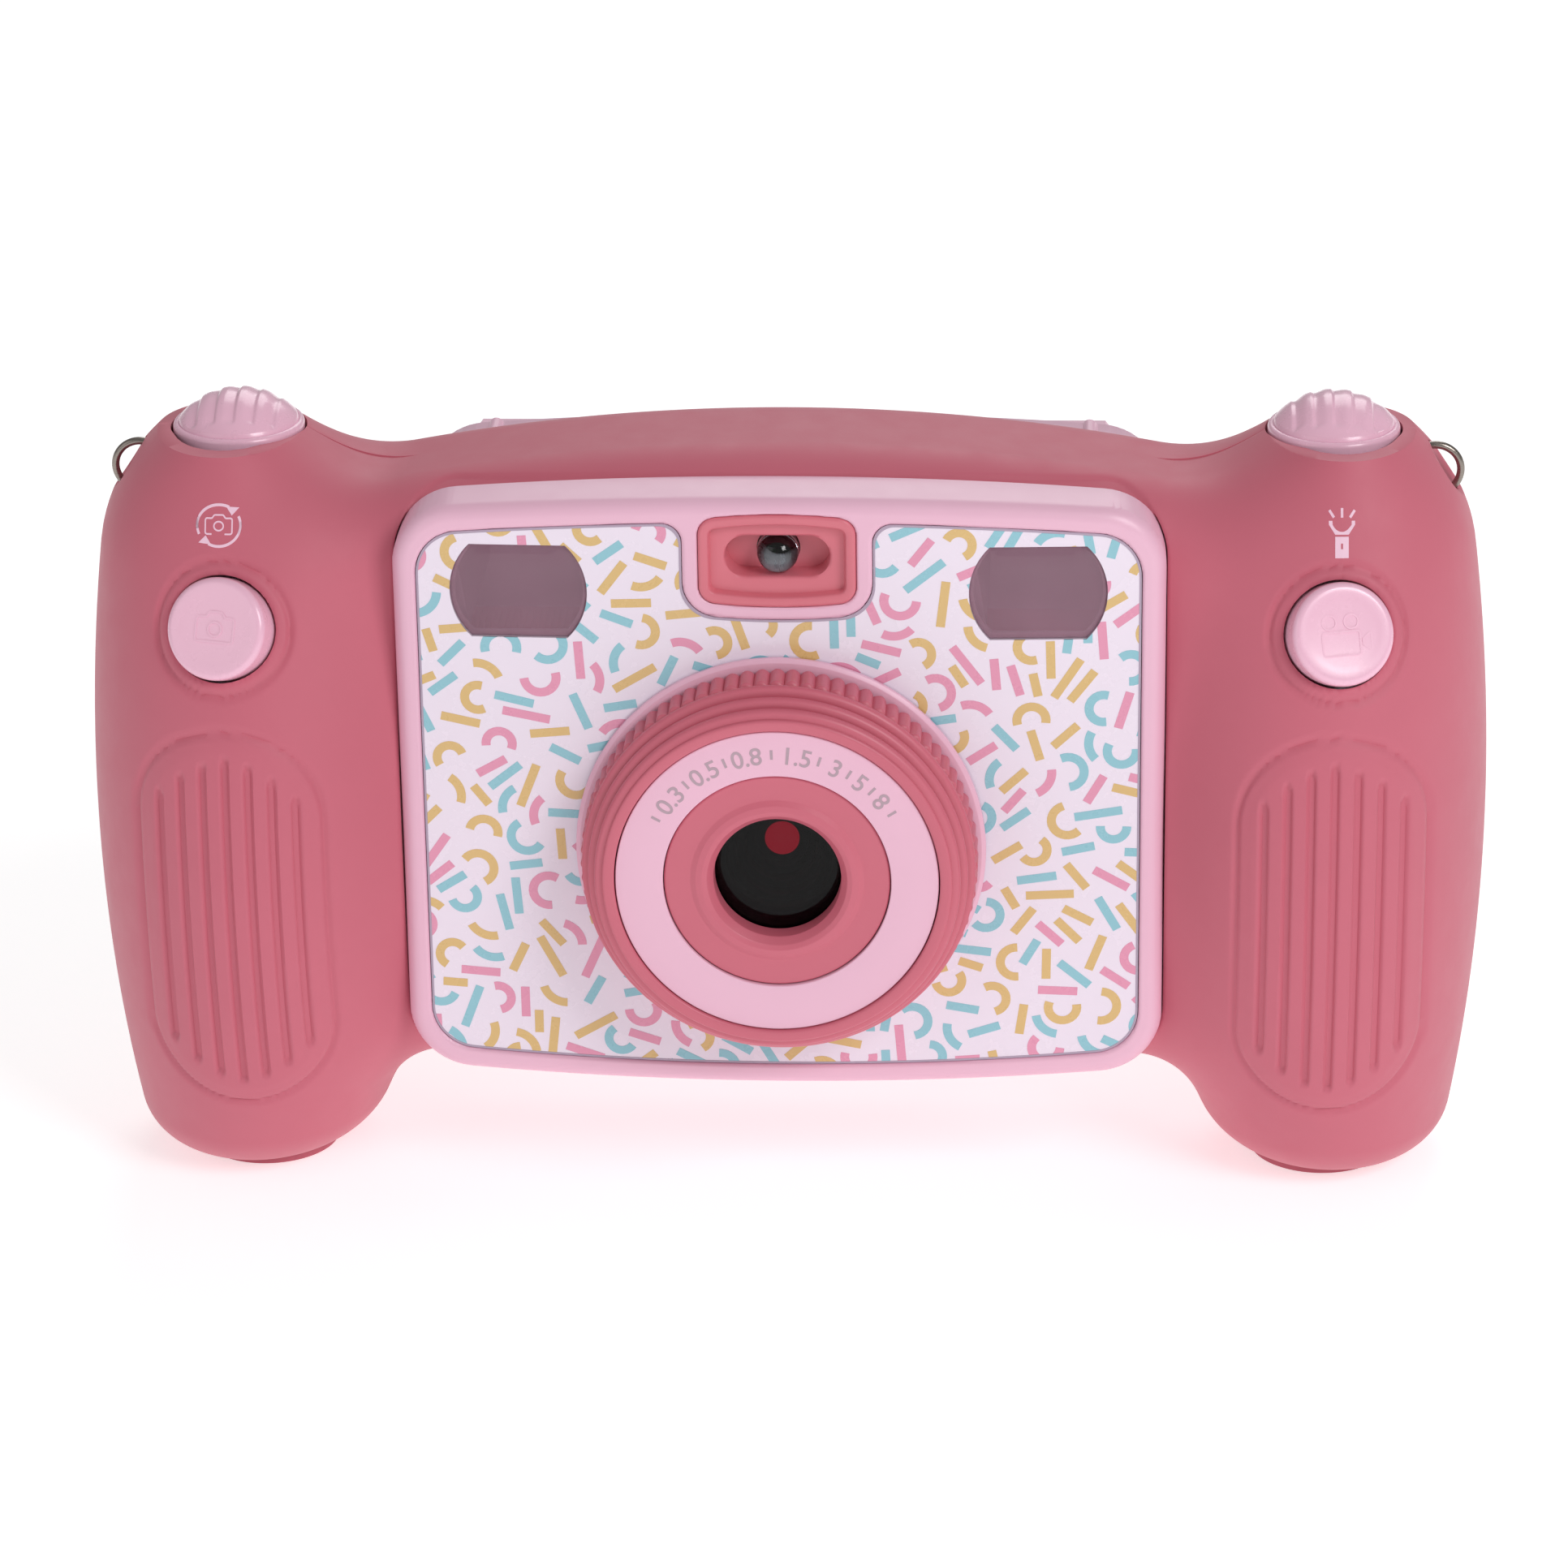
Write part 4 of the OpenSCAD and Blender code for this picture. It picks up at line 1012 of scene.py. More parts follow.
def unit(vectors):
    return vectors / np.linalg.norm(vectors, axis=1, keepdims=True)


def ribbon(path, width, closed=False):
    """Left and right edge lines of a flat ribbon along a path in the plane."""
    p = np.asarray(path, float)
    if closed:
        tangent = unit(np.roll(p, -1, 0) - np.roll(p, 1, 0))
        before = unit(p - np.roll(p, 1, 0))
    else:
        tangent = unit(np.gradient(p, axis=0))
        before = unit(np.vstack([tangent[:1], p[1:] - p[:-1]]))
    normal = np.column_stack([-tangent[:, 1], tangent[:, 0]])
    lean = np.abs(np.sum(np.column_stack([-before[:, 1], before[:, 0]]) * normal, axis=1))
    half = width / 2 / np.maximum(lean, 0.5)
    return p + normal * half[:, None], p - normal * half[:, None]


def sheet(left, right, sides, closed=False):
    """Thin closed solid between two edge lines; sides places its top and its underside."""
    top, under = sides
    return loft([np.array([top(*a), top(*b), under(*b), under(*a)])
                 for a, b in zip(left, right)], closed)


def stroke(path, width, sides, closed=False):
    return sheet(*ribbon(path, width, closed), sides, closed)


def at_depths(*depths):
    """Places points of the panel's plane at depths, each a number or a function of x."""
    return [lambda x, z, y=y: (x, y(x) if callable(y) else y, z) for y in depths]


def confetti_marks():
    """Seeded scatter of bars, hooks and arcs, packed until few free spots are left."""
    dice = np.random.default_rng(41)
    tones = ("teal", "print_pink", "mustard")
    cell, gap, low = 0.2, 1.52, np.array((-46.0, 13.0))
    grid = low + cell * (np.indices((460, 400)).transpose(1, 2, 0) + 0.5)
    taken = np.hypot(grid[..., 0], grid[..., 1] - LENS_Z) < 17
    reach = int(gap / cell) + 1
    near = np.argwhere(np.hypot(*(np.indices((2 * reach + 1,) * 2) - reach)) * cell < gap) - reach
    t = np.linspace(-1, 1, 17)
    marks = []
    for batch in range(80):
        free = np.argwhere(~taken)
        if not len(free):
            break
        for spot in free[dice.integers(len(free), size=900)]:
            kind, turn = dice.random(), dice.uniform(0, 2 * math.pi)
            anchor = low + cell * (spot + 0.5)
            way = np.array((math.cos(turn), math.sin(turn)))
            if kind < 0.5:
                half = dice.choice((2.0, 2.4, 2.9) if batch < 30 else (1.5, 1.8))
                line = anchor + np.outer(t * half, way)
            else:
                radius, sweep = 2.9, 1.3
                if kind < 0.92:
                    radius, sweep = dice.choice((1.6, 1.75, 1.95)), dice.uniform(3.2, 4.0)
                a = turn + t * sweep / 2
                line = anchor + radius * (np.column_stack([np.cos(a), np.sin(a)]) - way)
            tone = tones[dice.integers(3)]
            at = np.floor((line - low) / cell).astype(int)
            if (at < 0).any() or (at >= taken.shape).any() or taken[at[:, 0], at[:, 1]].any():
                continue
            for i in at:
                j = np.clip(i + near, 0, np.array(taken.shape) - 1)
                taken[j[:, 0], j[:, 1]] = True
            marks.append((tone, line))
    return marks


def build_confetti():
    clip = combined(prism(tray_outline(0.38), -24, -15), plate_holes())
    sides = at_depths(face(PLATE_SINK - 0.03), face(PLATE_SINK + 0.15))
    shapes = {}
    for tone, line in confetti_marks():
        shapes.setdefault(tone, []).append(stroke(line, 1.08, sides))
    for tone, group in shapes.items():
        piece("print_marks_" + tone, combined(merge(*group), keep(clip)), tone)


def window_stack(x, *rows):
    """Solid through window outlines given as (radius, height, y)."""
    return stack(*[(window_outline(x, r, h), y) for r, h, y in rows])


def build_windows():
    w, h, wall, front, back = 9.2, 6.7, 1.0, -18.25, 12.35
    floor = WINDOW_Z - h + wall
    for s, name in SIDES:
        x = s * WINDOW_X
        pane = window_stack(x, *[(WINDOW_R - d, WINDOW_H - 2 * d, face(sink)) for d, sink in (
            (0, 1.36), (0, 0.75), (0.06, 0.66), (0.2, 0.6))])
        piece("window_pane_" + name, pane, "smoke", stands_for=["window_" + name])
        # Inside of the viewfinder: ribbed sill at the front, smooth floor, and a corner strip
        corners = np.array([(-1, -1), (1, -1), (1, 1), (-1, 1)])
        tube = stack(*[(corners * (w - t, h - t) + (x, WINDOW_Z), y) for t, y in (
            (0, front), (0, back), (wall, back), (wall, front))], joined=True)
        piece("viewfinder_" + name, tube, "tube", stands_for=["viewfinder_tube_" + name])
        left, right = x - w + wall, x + w - wall
        ribs = [box_shape((x - 7.2 + 0.8 * i, -18.2, floor - 0.05),
                          (x - 6.85 + 0.8 * i, -11.5, floor + 0.35)) for i in range(18)]
        sill = box_shape((left - 0.02, -18.22, floor - 0.1), (right + 0.02, -10.5, floor + 0.12))
        piece("viewfinder_sill_" + name, combined(sill, add(*ribs)), "tube_rib")
        ceiling = WINDOW_Z + h - wall + 0.05
        strip = prism([(left - 0.05, floor - 0.05), (left + 2.1, floor - 0.05),
                       (left + 0.35, ceiling), (left - 0.05, ceiling)], -17.6, 8)
        piece("viewfinder_strip_" + name, strip, "tube")


def build_lamp():
    front = -BEZEL_FRONT - 0.05
    back = -15.0

    def lip(inset, y):
        return insert_outline(-inset), y

    def slot(w, h, r, y):
        return bowed_outline(w / 2, LAMP_Z + h / 2, LAMP_Z - h / 2, 0, 0, r, 10), y

    insert = stack(
        lip(0, back), lip(0, front + 0.5), lip(0.06, front + 0.2), lip(0.21, front + 0.03),
        lip(0.4, front), lip(1.05, front), lip(1.22, front + 0.12), lip(1.3, front + 0.4),
        lip(1.45, front + 1.15), slot(13.3, 5.9, 2.6, front + 1.15),
        slot(12.7, 5.3, 2.6, front + 1.3), slot(12.5, 5.1, 2.5, front + 1.7),
        slot(12.3, 4.9, 2.4, -16.6), slot(5.2, 5.0, 2.49, -16.6), slot(5.2, 5.0, 2.49, back),
        joined=True)
    piece("lamp_insert", insert, "insert", stands_for=["flash_insert"],
          sharp=55)
    centre = (0, 0, LAMP_Z)
    dome = [(0, 20.6)] + arc_points(0, 18.1, 2.5, 90, 0, 16)[1:]
    dome += [(2.5, 15.75), (2.88, 15.7), (2.9, 14.72), (0, 14.72)]
    piece("lamp_dome", front_turned(revolve(dome, 64), centre), "led",
          stands_for=["flash_led"])
    cup = rounded_profile([(0.75, 16.2), (1.75, 17.3), (1.9, 17.3), (1.9, 15.2)], 0.1)
    piece("lamp_cup", front_turned(revolve(cup, 48), centre), "steel")
    legs = merge(*[rod_y(0.25, dx, LAMP_Z, -15.5, -10.95, 16) for dx in (-1.27, 1.27)])
    piece("lamp_legs", legs, "steel")


# -------------------------------------------------------------------- lens
def lens_turned(profile, segments=192, wobble=None):
    return front_turned(revolve(profile, segments, wobble), (0, 0, LENS_Z))


def build_lens():
    flange = rounded_profile([(19.7, 20.7), (24.8, 20.7), (24.8, 21.35), (24.3, 21.65),
                              (19.7, 21.65)], 0.22)
    piece("lens_collar", lens_turned(flange), "pink", stands_for=["lens_flange"])
    barrel = rounded_profile([
        (16.4, 12.6), (23, 17.0), (23, 18.2), (19.4, 18.2), (19.4, 23.2), (19.95, 23.45),
        (19.95, 23.85), (19.4, 24.1), (19.4, 29.95), (13.2, 29.95), (13.2, 28.6),
        (16.4, 28.6)], 0.12)
    piece("barrel", lens_turned(barrel), "barrel", stands_for=["lens_barrel"])

    # Grip ring: scalloped band, three round beads stepping in, and a flat rim
    flutes, flute_depth, smooth_r = 80, 0.6, 23.1
    band = rounded_profile([(19.55, 22.05), (23.9, 22.05), (23.9, 26.3), (22.6, 26.9),
                            (19.55, 26.9)], 0.4, 5)

    def scallop(angles, r, h):
        wave = np.abs(np.cos(angles * flutes / 2)) ** 0.8
        return 0 if r < smooth_r else -flute_depth * (1 - wave)

    bead_r = 0.75
    heights = np.arange(26.2, 31.26, 0.06)
    reach = np.interp(heights, (26.2, 26.8, 30.6, 31.25), (23.2, 23.0, 20.95, 20.95))
    for centre, height in ((22.9, 27.1), (22.05, 28.75), (21.2, 30.25)):
        off = heights - height
        bead = centre + np.sqrt(np.maximum(bead_r ** 2 - off ** 2, 0))
        reach = np.where(np.abs(off) < bead_r, np.maximum(reach, bead), reach)
    front = [(19.55, 26.2)] + list(zip(reach, heights)) + [
        (20.9, 31.45), (20.75, 31.57), (20.55, 31.6), (19.75, 31.6), (19.6, 31.54), (19.5, 31.4)]
    ring = combined(lens_turned(band, flutes * 12, scallop), add(lens_turned(front, 256)))
    piece("grip_ring", ring, "rose_satin", body="lens_ring_body", stands_for=["lens_ring"],
          sharp=50)

    rim = rounded_profile([(13.65, 29.97), (19.35, 29.97), (19.35, 31.25), (13.65, 31.25)], 0.16)
    piece("face_ring", lens_turned(rim), "pink", stands_for=["lens_face_ring"])
    cone = rounded_profile([
        (7.6, 27.5), (9.6, 27.5), (9.6, 25.6), (12.9, 25.6), (12.9, 30.05), (13.55, 30.05),
        (13.55, 30.95), (10.4, 30.72), (9.75, 31.08), (9.0, 31.2), (8.4, 30.95),
        (7.65, 30.0)], 0.3, 5)
    piece("front_cone", lens_turned(cone), "rose_satin", stands_for=["lens_cone"],
          sharp=60)
    glass = [(0, 27.8)] + [(r, 27.8 - 0.42 * (r / 7.4) ** 2) for r in np.linspace(0.4, 7.4, 18)]
    glass += [(9.4, 27.0), (9.5, 26.9), (9.5, 25.7), (9.4, 25.6), (0, 25.6)]
    piece("front_glass", lens_turned(glass, 128), "lens_glass", stands_for=["lens_glass"])

    # Camera block with stepped black throat and a red-coated element at its foot; the element's
    # red glow is a painted glint
    throat = [(6.4, 10.75), (9.35, 10.75), (9.35, 25.2), (7.4, 25.3), (7.2, 24.2), (6.5, 24.0),
              (6.3, 22.6), (5.5, 22.4), (5.3, 20.8), (4.4, 20.6), (4.2, 19.0), (3.3, 18.8),
              (3.2, 17.6), (0, 17.6), (0, 10.75)]
    block = merge(mid_box(0, LENS_Z, 11, 11, -10.8, -9.8), lens_turned(throat, 96))
    piece("camera_block", block, "lens_inner", stands_for=["camera_module"],
          sharp=30)
    element = [(0, 18.65)] + [(r, 18.65 - 0.5 * (r / 2) ** 2) for r in np.linspace(0.3, 2.0, 10)]
    element += [(2.1, 18.0), (2.1, 17.5), (0, 17.5)]
    # The element's red coating glows: a painted glint, not light from a lamp
    piece("inner_element", lens_turned(element, 64), "red_coat_painted_glow")


def glyph(text, size):
    """Outline mesh of a short number in the plane, centred, as (points, faces)."""
    data = bpy.data.curves.new("glyph", "FONT")
    data.body = text
    data.size = size
    data.align_x = "CENTER"
    data.resolution_u = 6
    data.offset = 0.03
    holder = shown("glyph", data)
    bpy.context.view_layer.update()
    graph = bpy.context.evaluated_depsgraph_get()
    mesh = bpy.data.meshes.new_from_object(holder.evaluated_get(graph))
    bpy.data.objects.remove(holder)
    return np.array([v.co[:2] for v in mesh.vertices]), [tuple(p.vertices) for p in mesh.polygons]


def raised(points, faces, sides):
    """Closed solid from a flat mesh, with walls on its open edges."""
    n = len(points)
    solid = list(faces) + [tuple(i + n for i in reversed(f)) for f in faces]
    edges = dict.fromkeys((a, b) for f in faces for a, b in zip(f, f[1:] + f[:1]))
    solid += [(b, a, a + n, b + n) for a, b in edges if (b, a) not in edges]
    return outward(np.array([side(x, z) for side in sides for x, z in points]), solid)


def build_scale():
    """Distance scale on the face ring: numbers and ticks on the upper arc."""
    face_h, number_r, middle_r = 31.25, 15.3, 16.4
    sides = at_depths(-face_h - 0.03, -face_h + 0.1)

    def wrap(points, degrees):
        radius = number_r + points[:, 1]
        angle = math.pi / 2 - math.radians(degrees) - points[:, 0] / middle_r
        return np.column_stack([radius * np.cos(angle), LENS_Z + radius * np.sin(angle)])

    parts = []
    for text, degrees in (("0.3", -50), ("0.5", -31), ("0.8", -12), ("1.5", 9), ("3", 26),
                          ("5", 38), ("8", 50)):
        points, faces = glyph(text, 3.1)
        parts.append(raised(wrap(points, degrees), faces, sides))
    tick = ribbon([(0, 0.55), (0, 1.75)], 0.32)
    for degrees in (-60.5, -40.5, -21.5, -1.5, 18.5, 32, 44, 57):
        parts.append(sheet(*[wrap(edge, degrees) for edge in tick], sides))
    piece("distance_scale", merge(*parts), "ink")


# ----------------------------------------------------------------- buttons
def build_top_button(s, name):
    radius = 9.4
    centre_z = 98 - radius
    dome_r, dome_z, groove_pitch, groove_depth = 7.15, 94.3, 2.4, 0.26
    rim = [(0, 89.6), (7.7, 89.6), (8.0, 89.8), (8.0, 93.7), (7.92, 94.0), (7.75, 94.2),
           (7.5, 94.28), (7.3, 94.2)]
    edge = math.degrees(math.acos(dome_r / radius))
    dome = arc_points(0, centre_z, radius, edge, 90, 60)
    dome[-1] = (0, dome[-1][1])
    p, faces = revolve(rim + dome, 240)
    groove = np.zeros(len(p))
    for i in range(-2, 3):
        across = p[:, 0] - groove_pitch * i
        fade = 1 - smooth((np.abs(p[:, 1]) - 6.3 + 0.25 * i * i + 0.8) / 0.8)
        step = 1 - smooth(np.where(across < 0, -across / 0.45, across / 1.5))
        groove = np.maximum(groove, groove_depth * fade * step)
    on_dome = (p[:, 2] > dome_z) & (np.hypot(p[:, 0], p[:, 1]) < dome_r - 0.05)
    inwards = (p - (0, 0, centre_z)) / radius * groove[:, None]
    p = np.where(on_dome[:, None], p - inwards, p)
    flange = combined(rod_z(9, CAP_X, 88.6, 89.65),
                      keep(box_shape((CAP_X - 10, -6, 88), (CAP_X + 10, 6, 91))))
    body = combined(moved((p, faces), (CAP_X, 0, 0)), add(flange),
                    add(rod_z(1.8, CAP_X, 84.6, 88.7, 32)))
    piece("top_cap_" + name, mirrored(body) if s < 0 else body, "pink_gloss",
          body=f"top_button_{name}_body", stands_for=["top_button_" + name],
          sharp=50)


def icon_camera(scale):
    """Outline of a plain camera, as two closed paths."""
    body = [(-3, -2), (3, -2), (3, 1.7), (1.5, 1.7), (1.0, 2.5), (-1.0, 2.5), (-1.5, 1.7),
            (-3, 1.7)]
    return [rounded_profile(np.array(body) * scale, 0.45 * scale, 3),
            circle_outline(0, -0.1, 1.05, 32) * scale]


def icon_film():
    """Outline of a film camera: body, horn and two reels."""
    reel = circle_outline(0, 1.45, 0.85, 32)
    return [reel + (-1.75, 0), reel + (0.95, 0),
            rounded_profile([(-2.7, -2.5), (1.9, -2.5), (1.9, 0.3), (-2.7, 0.3)], 0.3, 3),
            rounded_profile([(2.25, -1.4), (3.3, -2.2), (3.3, 0.1), (2.25, -0.7)], 0.15, 3)]


def build_front_button(s, name):
    skirt, stem, top, dish, edge_r = -5.2, -8.0, 1.34, 0.16, 0.85
    profile = [(0, stem), (1.5, stem), (1.6, stem + 0.1), (1.6, skirt - 0.8), (7.0, skirt - 0.8),
               (7.1, skirt - 0.7), (7.1, skirt), (BUTTON_R, skirt)]
    profile += arc_points(BUTTON_R - edge_r, top - edge_r, edge_r, 0, 90, 9)
    profile += [(r, top - dish * (1 - (r / 5.2) ** 2) * smooth((5.2 - r) / 1.2))
                for r in np.linspace(5.1, 0.2, 16)]
    cap = revolve(profile + [(0, top - dish)], 128)
    sides = [lambda x, z, h=h: (x, z, h) for h in (1.27, 0.9)]
    paths, width = (icon_camera(0.8), 0.24) if s < 0 else (icon_film(), 0.22)
    points, faces = merge(*[stroke(path, width, sides, True) for path in paths])
    if s < 0:
        # The frame is mirrored for the left grip, so the marks are turned back first
        points = points * (-1, 1, 1)
    body = f"front_button_{name}_body"
    piece("front_cap_" + name, placed(cap, button_frame, s < 0), "pink_gloss", body=body,
          stands_for=["front_button_" + name], sharp=50)
    piece("front_cap_mark_" + name, placed(outward(points, faces), button_frame, s < 0),
          "pink_gloss", body=body)


def build_icons():
    """Printed pictograms above the front buttons: a turning camera and a torch."""
    sides = [lambda x, z, out=out: (x, float(skin_y(x, z, -1)) - out, z) for out in (0.04, -0.12)]
    centre, squash, ring_r = (-67.0, 86.6), (1, 0.84), 2.62

    def ring_arc(start, stop, count):
        return np.array(arc_points(0, 0, ring_r, start, stop, count)) * squash + centre

    shapes = [stroke(path * squash + centre, 0.17, sides, True) for path in icon_camera(0.54)]
    for start in (62, 242):
        shapes.append(stroke(ring_arc(start, start + 128, 40), 0.3, sides))
        base, tip = math.radians(start - 40), math.radians(start - 16)
        outer, inner, nose = [
            np.array((r * math.cos(a), r * math.sin(a))) * squash + centre
            for r, a in ((3.3, base + 0.36), (2.0, base + 0.3), (2.55, tip + 0.42))]
        shapes.append(sheet([outer, nose], [inner - 0.001, nose - 0.001], sides))
    for start in (180, 0):
        shapes.append(stroke(ring_arc(start - 24, start + 26, 16), 0.3, sides))
    piece("icon_turning_camera", merge(*shapes), "icon")

    centre = np.array((66.9, 86.4))

    def bar(x0, x1, heights):
        """Upright patch between two edges, each a number or one value per height."""
        edges = [np.column_stack([np.broadcast_to(x, len(heights)), heights]) + centre
                 for x in (x0, x1)]
        return sheet(*edges, sides)

    half, slit, low, high = 0.8, 0.12, -2.75, -0.5
    flare = np.array((1.55, 1.55, half))
    shapes = [bar(-flare, flare, (1.15, 0.75, -0.28))]
    shapes += [bar(x0, x1, np.linspace(low, high, 6)) for x0, x1 in ((-half, -slit), (slit, half))]
    shapes += [bar(-slit, slit, heights) for heights in ((low, -1.8), (-1.2, high))]
    for x0, x1, z1 in ((0, 0, 2.5), (-0.95, -1.5, 2.25), (0.95, 1.5, 2.25)):
        shapes.append(stroke(np.array([(x0, 1.5), (x1, z1)]) + centre, 0.3, sides))
    piece("icon_torch", merge(*shapes), "icon")


def build_strap_loops():
    path = np.array([(-WIRE_LEG, -WIRE_BEND)] + arc_points(0, 0, WIRE_BEND, -90, 90, 40)
                    + [(-WIRE_LEG, WIRE_BEND)])
    a = 2 * np.pi * np.arange(20) / 20
    across, up = WIRE_R * np.cos(a), WIRE_R * np.sin(a)
    wire = loft([np.column_stack([px - tz * across, up, pz + tx * across])
                 for (px, pz), (tx, tz) in zip(path, unit(np.gradient(path, axis=0)))])
    for s, name in SIDES:
        piece("strap_wire_" + name, placed(wire, strap_frame, s < 0), "loop",
              stands_for=["strap_loop_" + name], sharp=60)


# -------------------------------------------------------------------- back
KEYS = {"up": (29, 56, 2.5), "down": (29, 42, 2.5), "left": (22, 49, 2.5),
        "right": (36, 49, 2.5), "ok": (29, 49, 2.8), "menu": (23.4, 30, 2.6),
        "power": (34.6, 30, 2.6)}
KEY_TIP, KEY_GAP = 21.7, 0.3
SCREEN_X, SCREEN_Z = -13.5, 45.0
EYE_REACH = 23.6
LEDGE = 19.3


def screen_outline(w, h, r):
    return bar_outline(SCREEN_X, SCREEN_Z, w, h, r)


def build_back():
    outer = frame_outline(REAR)
    screen = screen_outline(54.2, 41.2, 2.1)
    dish_x, dish_z, _ = KEYS["ok"]

    def back(x, z):
        y = REAR_FACE - edge_drop(x, z, outer, 0.3, inside=True) - edge_drop(x, z, screen, 0.4)
        for kx, kz, kr in KEYS.values():
            y = y - round_off(np.maximum(np.hypot(x - kx, z - kz) - kr - KEY_GAP, 0), 0.3)
        # Shallow round dish that gathers the direction keys
        rho = np.hypot(x - dish_x, z - dish_z)
        return y - 0.35 * (1 - smooth((rho - 11) / 0.9))

    xs = spaced((-46.2, -45.4, 0.08), (-45.4, -38, 0.3), (-38, 13, 1.0), (13, 41, 0.22),
                (41, 45.4, 0.3), (45.4, 46.2, 0.08))
    zs = spaced((16.8, 17.6, 0.08), (17.6, 27, 0.3), (27, 60.5, 0.22), (60.5, 78, 1.0),
                (78, 87.5, 0.3), (87.5, 88.4, 0.06))
    solid = combined(field_solid(xs, zs, flat(SEAT), back, follow_bow(REAR)),
                     keep(prism(outer, SEAT - 1, 25)))
    windows = [s * WINDOW_X for s in SIGNS]
    rims = [window_stack(x, (10.4, 13.3, 19.5), (10.4, 13.3, EYE_REACH - 0.6),
                         (10.34, 13.2, EYE_REACH - 0.3), (10.15, 12.9, EYE_REACH - 0.08),
                         (9.9, 12.6, EYE_REACH)) for x in windows]
    flares = [window_stack(x, (7.5, 10.3, 5), (7.5, 10.3, LEDGE - 0.05), (8.2, 11.7, LEDGE),
                           (8.2, 11.7, 21.2), (9.1, 12.1, EYE_REACH + 0.3)) for x in windows]
    nubs = [rod_y(0.9, s * 37, REAR[1] - 1.55, 15, REAR_FACE - 0.6, 24) for s in SIGNS]
    hollow = bowed_outline(REAR[0] - 2.6, REAR[1] - 2.6, REAR[2] + 2.6, BOW, BOW_LOW, 5.4)
    cavity = combined(prism(hollow, 5, 18.2), cut(*[
        box_shape((x - 10.2, 0, 71.6), (x + 10.2, 30, 95)) for x in windows]))
    holes = [rod_y(kr + KEY_GAP, kx, kz, 15, 25, 48) for kx, kz, kr in KEYS.values()]
    solid = combined(
        solid, add(*rims), add(*nubs), cut(cavity), cut(*flares),
        cut(prism(screen, LEDGE, 30), rod_y(3.6, 0, WINDOW_Z, LEDGE, 30), *holes),
        cut(prism(screen_outline(50, 37.6, 0.5), 10, 25), rod_y(2.6, 0, WINDOW_Z, 10, 25, 48)))
    piece("back_frame", solid, "pink", stands_for=["rear_frame"], sharp=48)

    glass = stack(*[(screen_outline(w, h, r), y) for w, h, r, y in (
        (54, 41, 2.0, 19.35), (54, 41, 2.0, 20.2), (53.7, 40.7, 1.9, 20.4),
        (53.2, 40.2, 1.7, REAR_FACE - 0.05))])
    piece("screen_pane", glass, "screen", stands_for=["screen_window"])
    view = prism(screen_outline(47.4, 35.4, 0.6), 20.3, REAR_FACE - 0.03)
    piece("screen_view", view, "panel")
    selfie = [(0, 19.35), (3.5, 19.35), (3.5, 20.25), (3.42, 20.4), (3.25, 20.45), (0, 20.45)]
    piece("selfie_pane", rear_turned(revolve(selfie, 64), (0, 0, WINDOW_Z)), "screen",
          stands_for=["selfie_window"])
    eye = [(1.15, 20.3), (1.9, 20.3), (1.9, 20.47), (1.78, 20.52), (1.28, 20.52), (1.15, 20.47)]
    piece("selfie_ring", rear_turned(revolve(eye, 48), (0, 0, WINDOW_Z)), "steel")


def key_marks():
    """Lines on each key about its centre, as (path, width, closed)."""
    marks = {"ok": [(circle_outline(0, 0, 1.1, 40), 0.24, True)],
             "menu": [([(-1.0, dz), (1.0, dz)], 0.26, False) for dz in (-0.7, 0, 0.7)],
             "power": [(arc_points(0, -0.1, 1.05, 128, 412, 36), 0.24, False),
                       ([(0, 0.05), (0, 1.3)], 0.24, False)]}
    arrow = rounded_profile([(-1.0, -0.55), (1.0, -0.55), (0.0, 0.85)], 0.12, 3)
    for name, degrees in (("up", 0), ("left", 90), ("down", 180), ("right", 270)):
        c, s = math.cos(math.radians(degrees)), math.sin(math.radians(degrees))
        marks[name] = [(arrow @ np.array([[c, s], [-s, c]]), 0.22, True)]
    return marks


def build_keys():
    marks = key_marks()
    sides = at_depths(KEY_TIP - 0.02, KEY_TIP - 0.4)
    edge_r, dish = 0.5, 0.12
    for name, (kx, kz, kr) in KEYS.items():
        profile = [(0, 17.4), (0.9, 17.4), (0.9, 17.6), (kr + 0.6, 17.6), (kr + 0.6, 18.25),
                   (kr, 18.25)]
        profile += arc_points(kr - edge_r, KEY_TIP - edge_r, edge_r, 0, 90, 7)
        profile += [(r, KEY_TIP - dish * (1 - (r / (kr - edge_r)) ** 2))
                    for r in np.linspace(kr - 0.7, 0.2, 8)]
        key = rear_turned(revolve(profile + [(0, KEY_TIP - dish)], 64), (kx, 0, kz))
        rose = name in ("ok", "menu", "power")
        tone, slot, ink = (("rose_satin", "key_rose", "icon") if rose
                           else ("pink_gloss", "button_pink", "rose_satin"))
        body = f"key_{name}_body"
        piece("cap_" + name, key, tone, body=body, stands_for=["key_" + name],
              sharp=50)
        lines = [stroke(np.array(path) + (kx, kz), width, sides, closed)
                 for path, width, closed in marks[name]]
        piece("cap_mark_" + name, merge(*lines), ink, body=body)


def build_screws():
    profile = [(0, 9.1), (2.3, 9.1), (2.3, 10.1)]
    profile += [(2.3 * math.cos(a), 10.1 + 0.55 * math.sin(a))
                for a in np.linspace(0.2, math.pi / 2 - 0.1, 6)]
    profile += [(0, 10.65)]
    parts = []
    for x, z in SCREWS:
        cross = combined(mid_box(x, z, 1.35, 0.26, 9.9, 12),
                         add(mid_box(x, z, 0.26, 1.35, 9.9, 12.1)))
        parts.append(combined(rear_turned(revolve(profile, 48), (x, 0, z)), cut(cross),
                              add(rod_y(1.15, x, z, -6.9, 9.2, 24))))
    piece("case_screw_set", merge(*parts), "screw", stands_for=["case_screws"],
          sharp=35)


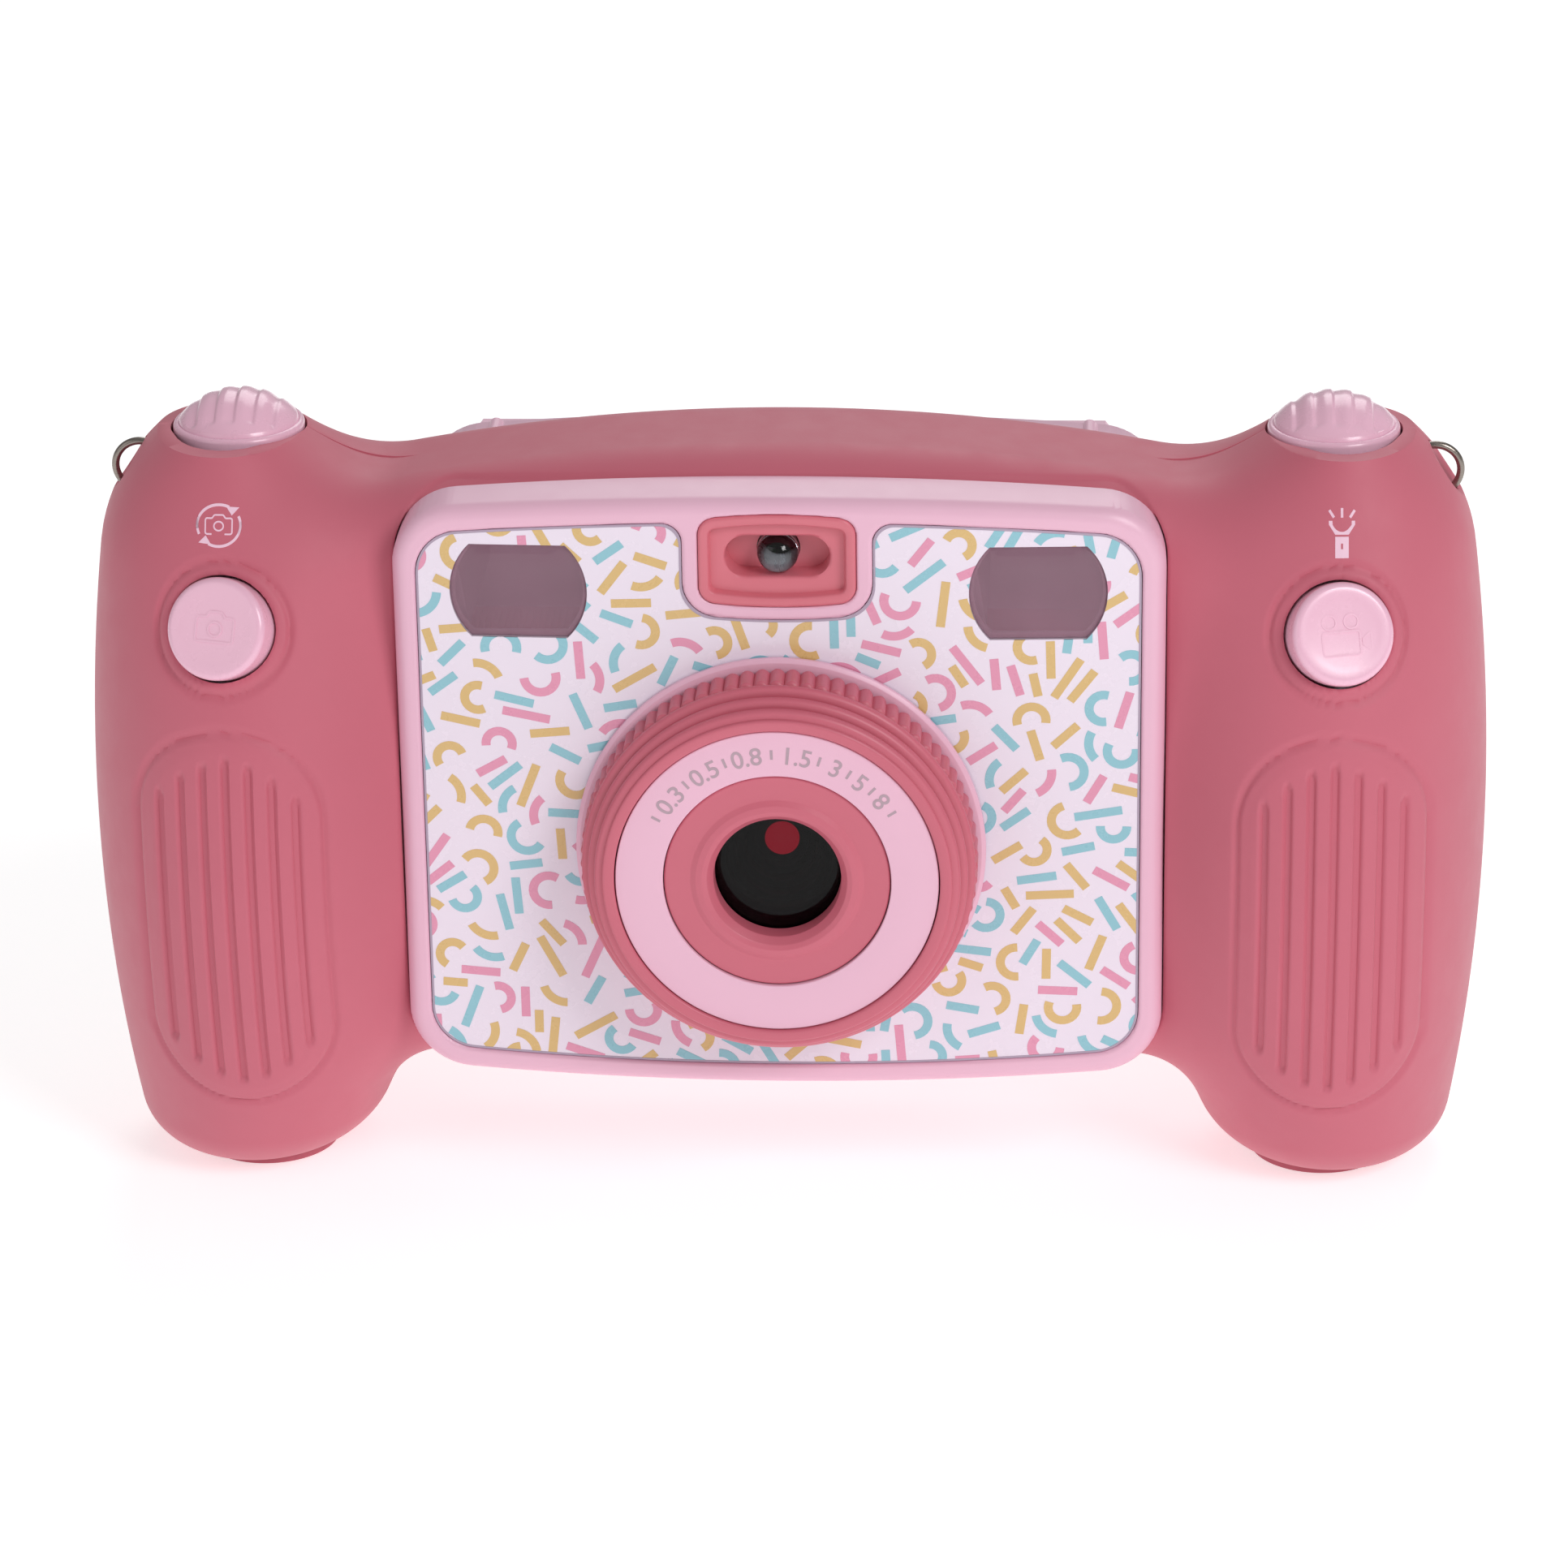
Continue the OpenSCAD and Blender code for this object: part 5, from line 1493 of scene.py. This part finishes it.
def build_cover_hinges():
    """Lugs under the grips that hold the tongue of each port cover, and its knuckle."""
    pin_y, pin_z, tongue, lug_half = 8.2, -0.4, 2.5, 0.45
    for s, name in ((-1, "usb"), (1, "card")):
        x = s * CAP_X
        lugs = [box_shape((at - lug_half, pin_y - 0.6, COVER_LOW + 0.06),
                          (at + lug_half, pin_y + 0.4, 0.75))
                for at in (x - tongue - 0.55, x + tongue + 0.55)]
        piece("hinge_lugs_" + name, merge(*lugs), "rubber")
        knuckle = side_turned(rod(0.46, -tongue, tongue, 32), (x, pin_y, pin_z))
        piece("hinge_knuckle_" + name, knuckle, "rubber", body=name + "_cover_body")


# ----------------------------------------------------------- kept CAD nodes
KEPT = {
    "eyepiece": ("eyepiece_left", "eyepiece_right"),
    "board": ("flash_board", "main_board", "key_board", "port_boards", "grip_boards"),
    "module": ("board_chips", "selfie_camera", "speaker", "grip_switches", "lcd_module"),
    "steel": ("key_switches", "usb_socket", "card_socket"),
    "ribbon": ("lcd_ribbon",),
    "foil": ("battery",),
    "lead_red": ("battery_lead",),
    "lead_black": ("speaker_lead",),
    "screw": ("board_screws",),
    "rubber": ("usb_cover", "card_cover"),
}
SOFT_EDGES = {"rubber": 0.00015, "foil": 0.0008, "eyepiece": 0.00015, "module": 0.00015}


def dress_cad():
    """Materials and softened edges for the nodes that no piece stands for."""
    for tone, names in KEPT.items():
        for name in names:
            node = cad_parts[name]
            node.data.materials.clear()
            node.data.materials.append(mats[tone])
            if tone in SOFT_EDGES:
                weld = node.modifiers.new("weld", "WELD")
                weld.merge_threshold = 0.000002
                edge = node.modifiers.new("edge", "BEVEL")
                edge.width = SOFT_EDGES[tone]
                edge.segments = 3
                edge.limit_method = "ANGLE"
                edge.angle_limit = math.radians(40)


# --------------------------------------------------------------- the studio
def area(name, place, aim_z, size, power):
    data = bpy.data.lights.new(name, "AREA")
    data.shape = "RECTANGLE"
    data.size = data.size_y = size
    data.energy = power
    lamp = shown(name, data)
    lamp.location = place
    way = Vector((0, 0, aim_z)) - Vector(place)
    lamp.rotation_euler = way.to_track_quat("-Z", "Y").to_euler()


def build_studio():
    paper = Paint("studio_paper")
    paper.tint(paper.noise(6, 3), 0.3, 0.7, [(0.79, 0.79, 0.795), (0.82, 0.82, 0.82)])
    paper.set(Roughness=0.85, Emission_Color=(1, 1, 1, 1), Emission_Strength=0.55)
    mesh = bpy.data.meshes.new("floor")
    half = 6.0
    corners = [(-half, -half, 0), (half, -half, 0), (half, half, 0), (-half, half, 0)]
    mesh.from_pydata(corners, [], [(0, 1, 2, 3)])
    mesh.materials.append(paper.mat)
    floor = shown("floor", mesh)
    world = bpy.data.worlds.new("studio")
    scene = bpy.context.scene
    scene.world = world
    world.use_nodes = True
    sky = world.node_tree.nodes["Background"]
    sky.inputs["Color"].default_value = (1, 1, 1, 1)
    sky.inputs["Strength"].default_value = 0.34
    area("key_light", (0.72, -0.78, 0.8), 0.04, 0.5, 6.6)
    area("fill_light", (-0.8, -0.7, 0.5), 0.05, 0.7, 1)
    area("rear_light", (0.1, 0.9, 0.8), 0.05, 0.7, 3.2)
    scene.view_settings.view_transform = "Standard"
    scene.view_settings.look = "None"


for build in (build_case, build_bezel, build_plate, build_confetti, build_windows, build_lamp,
              build_lens, build_scale):
    build()
for sign, word in SIDES:
    build_top_button(sign, word)
    build_front_button(sign, word)
for build in (build_icons, build_strap_loops, build_back, build_keys, build_screws,
              build_cover_hinges, dress_cad, build_studio):
    build()
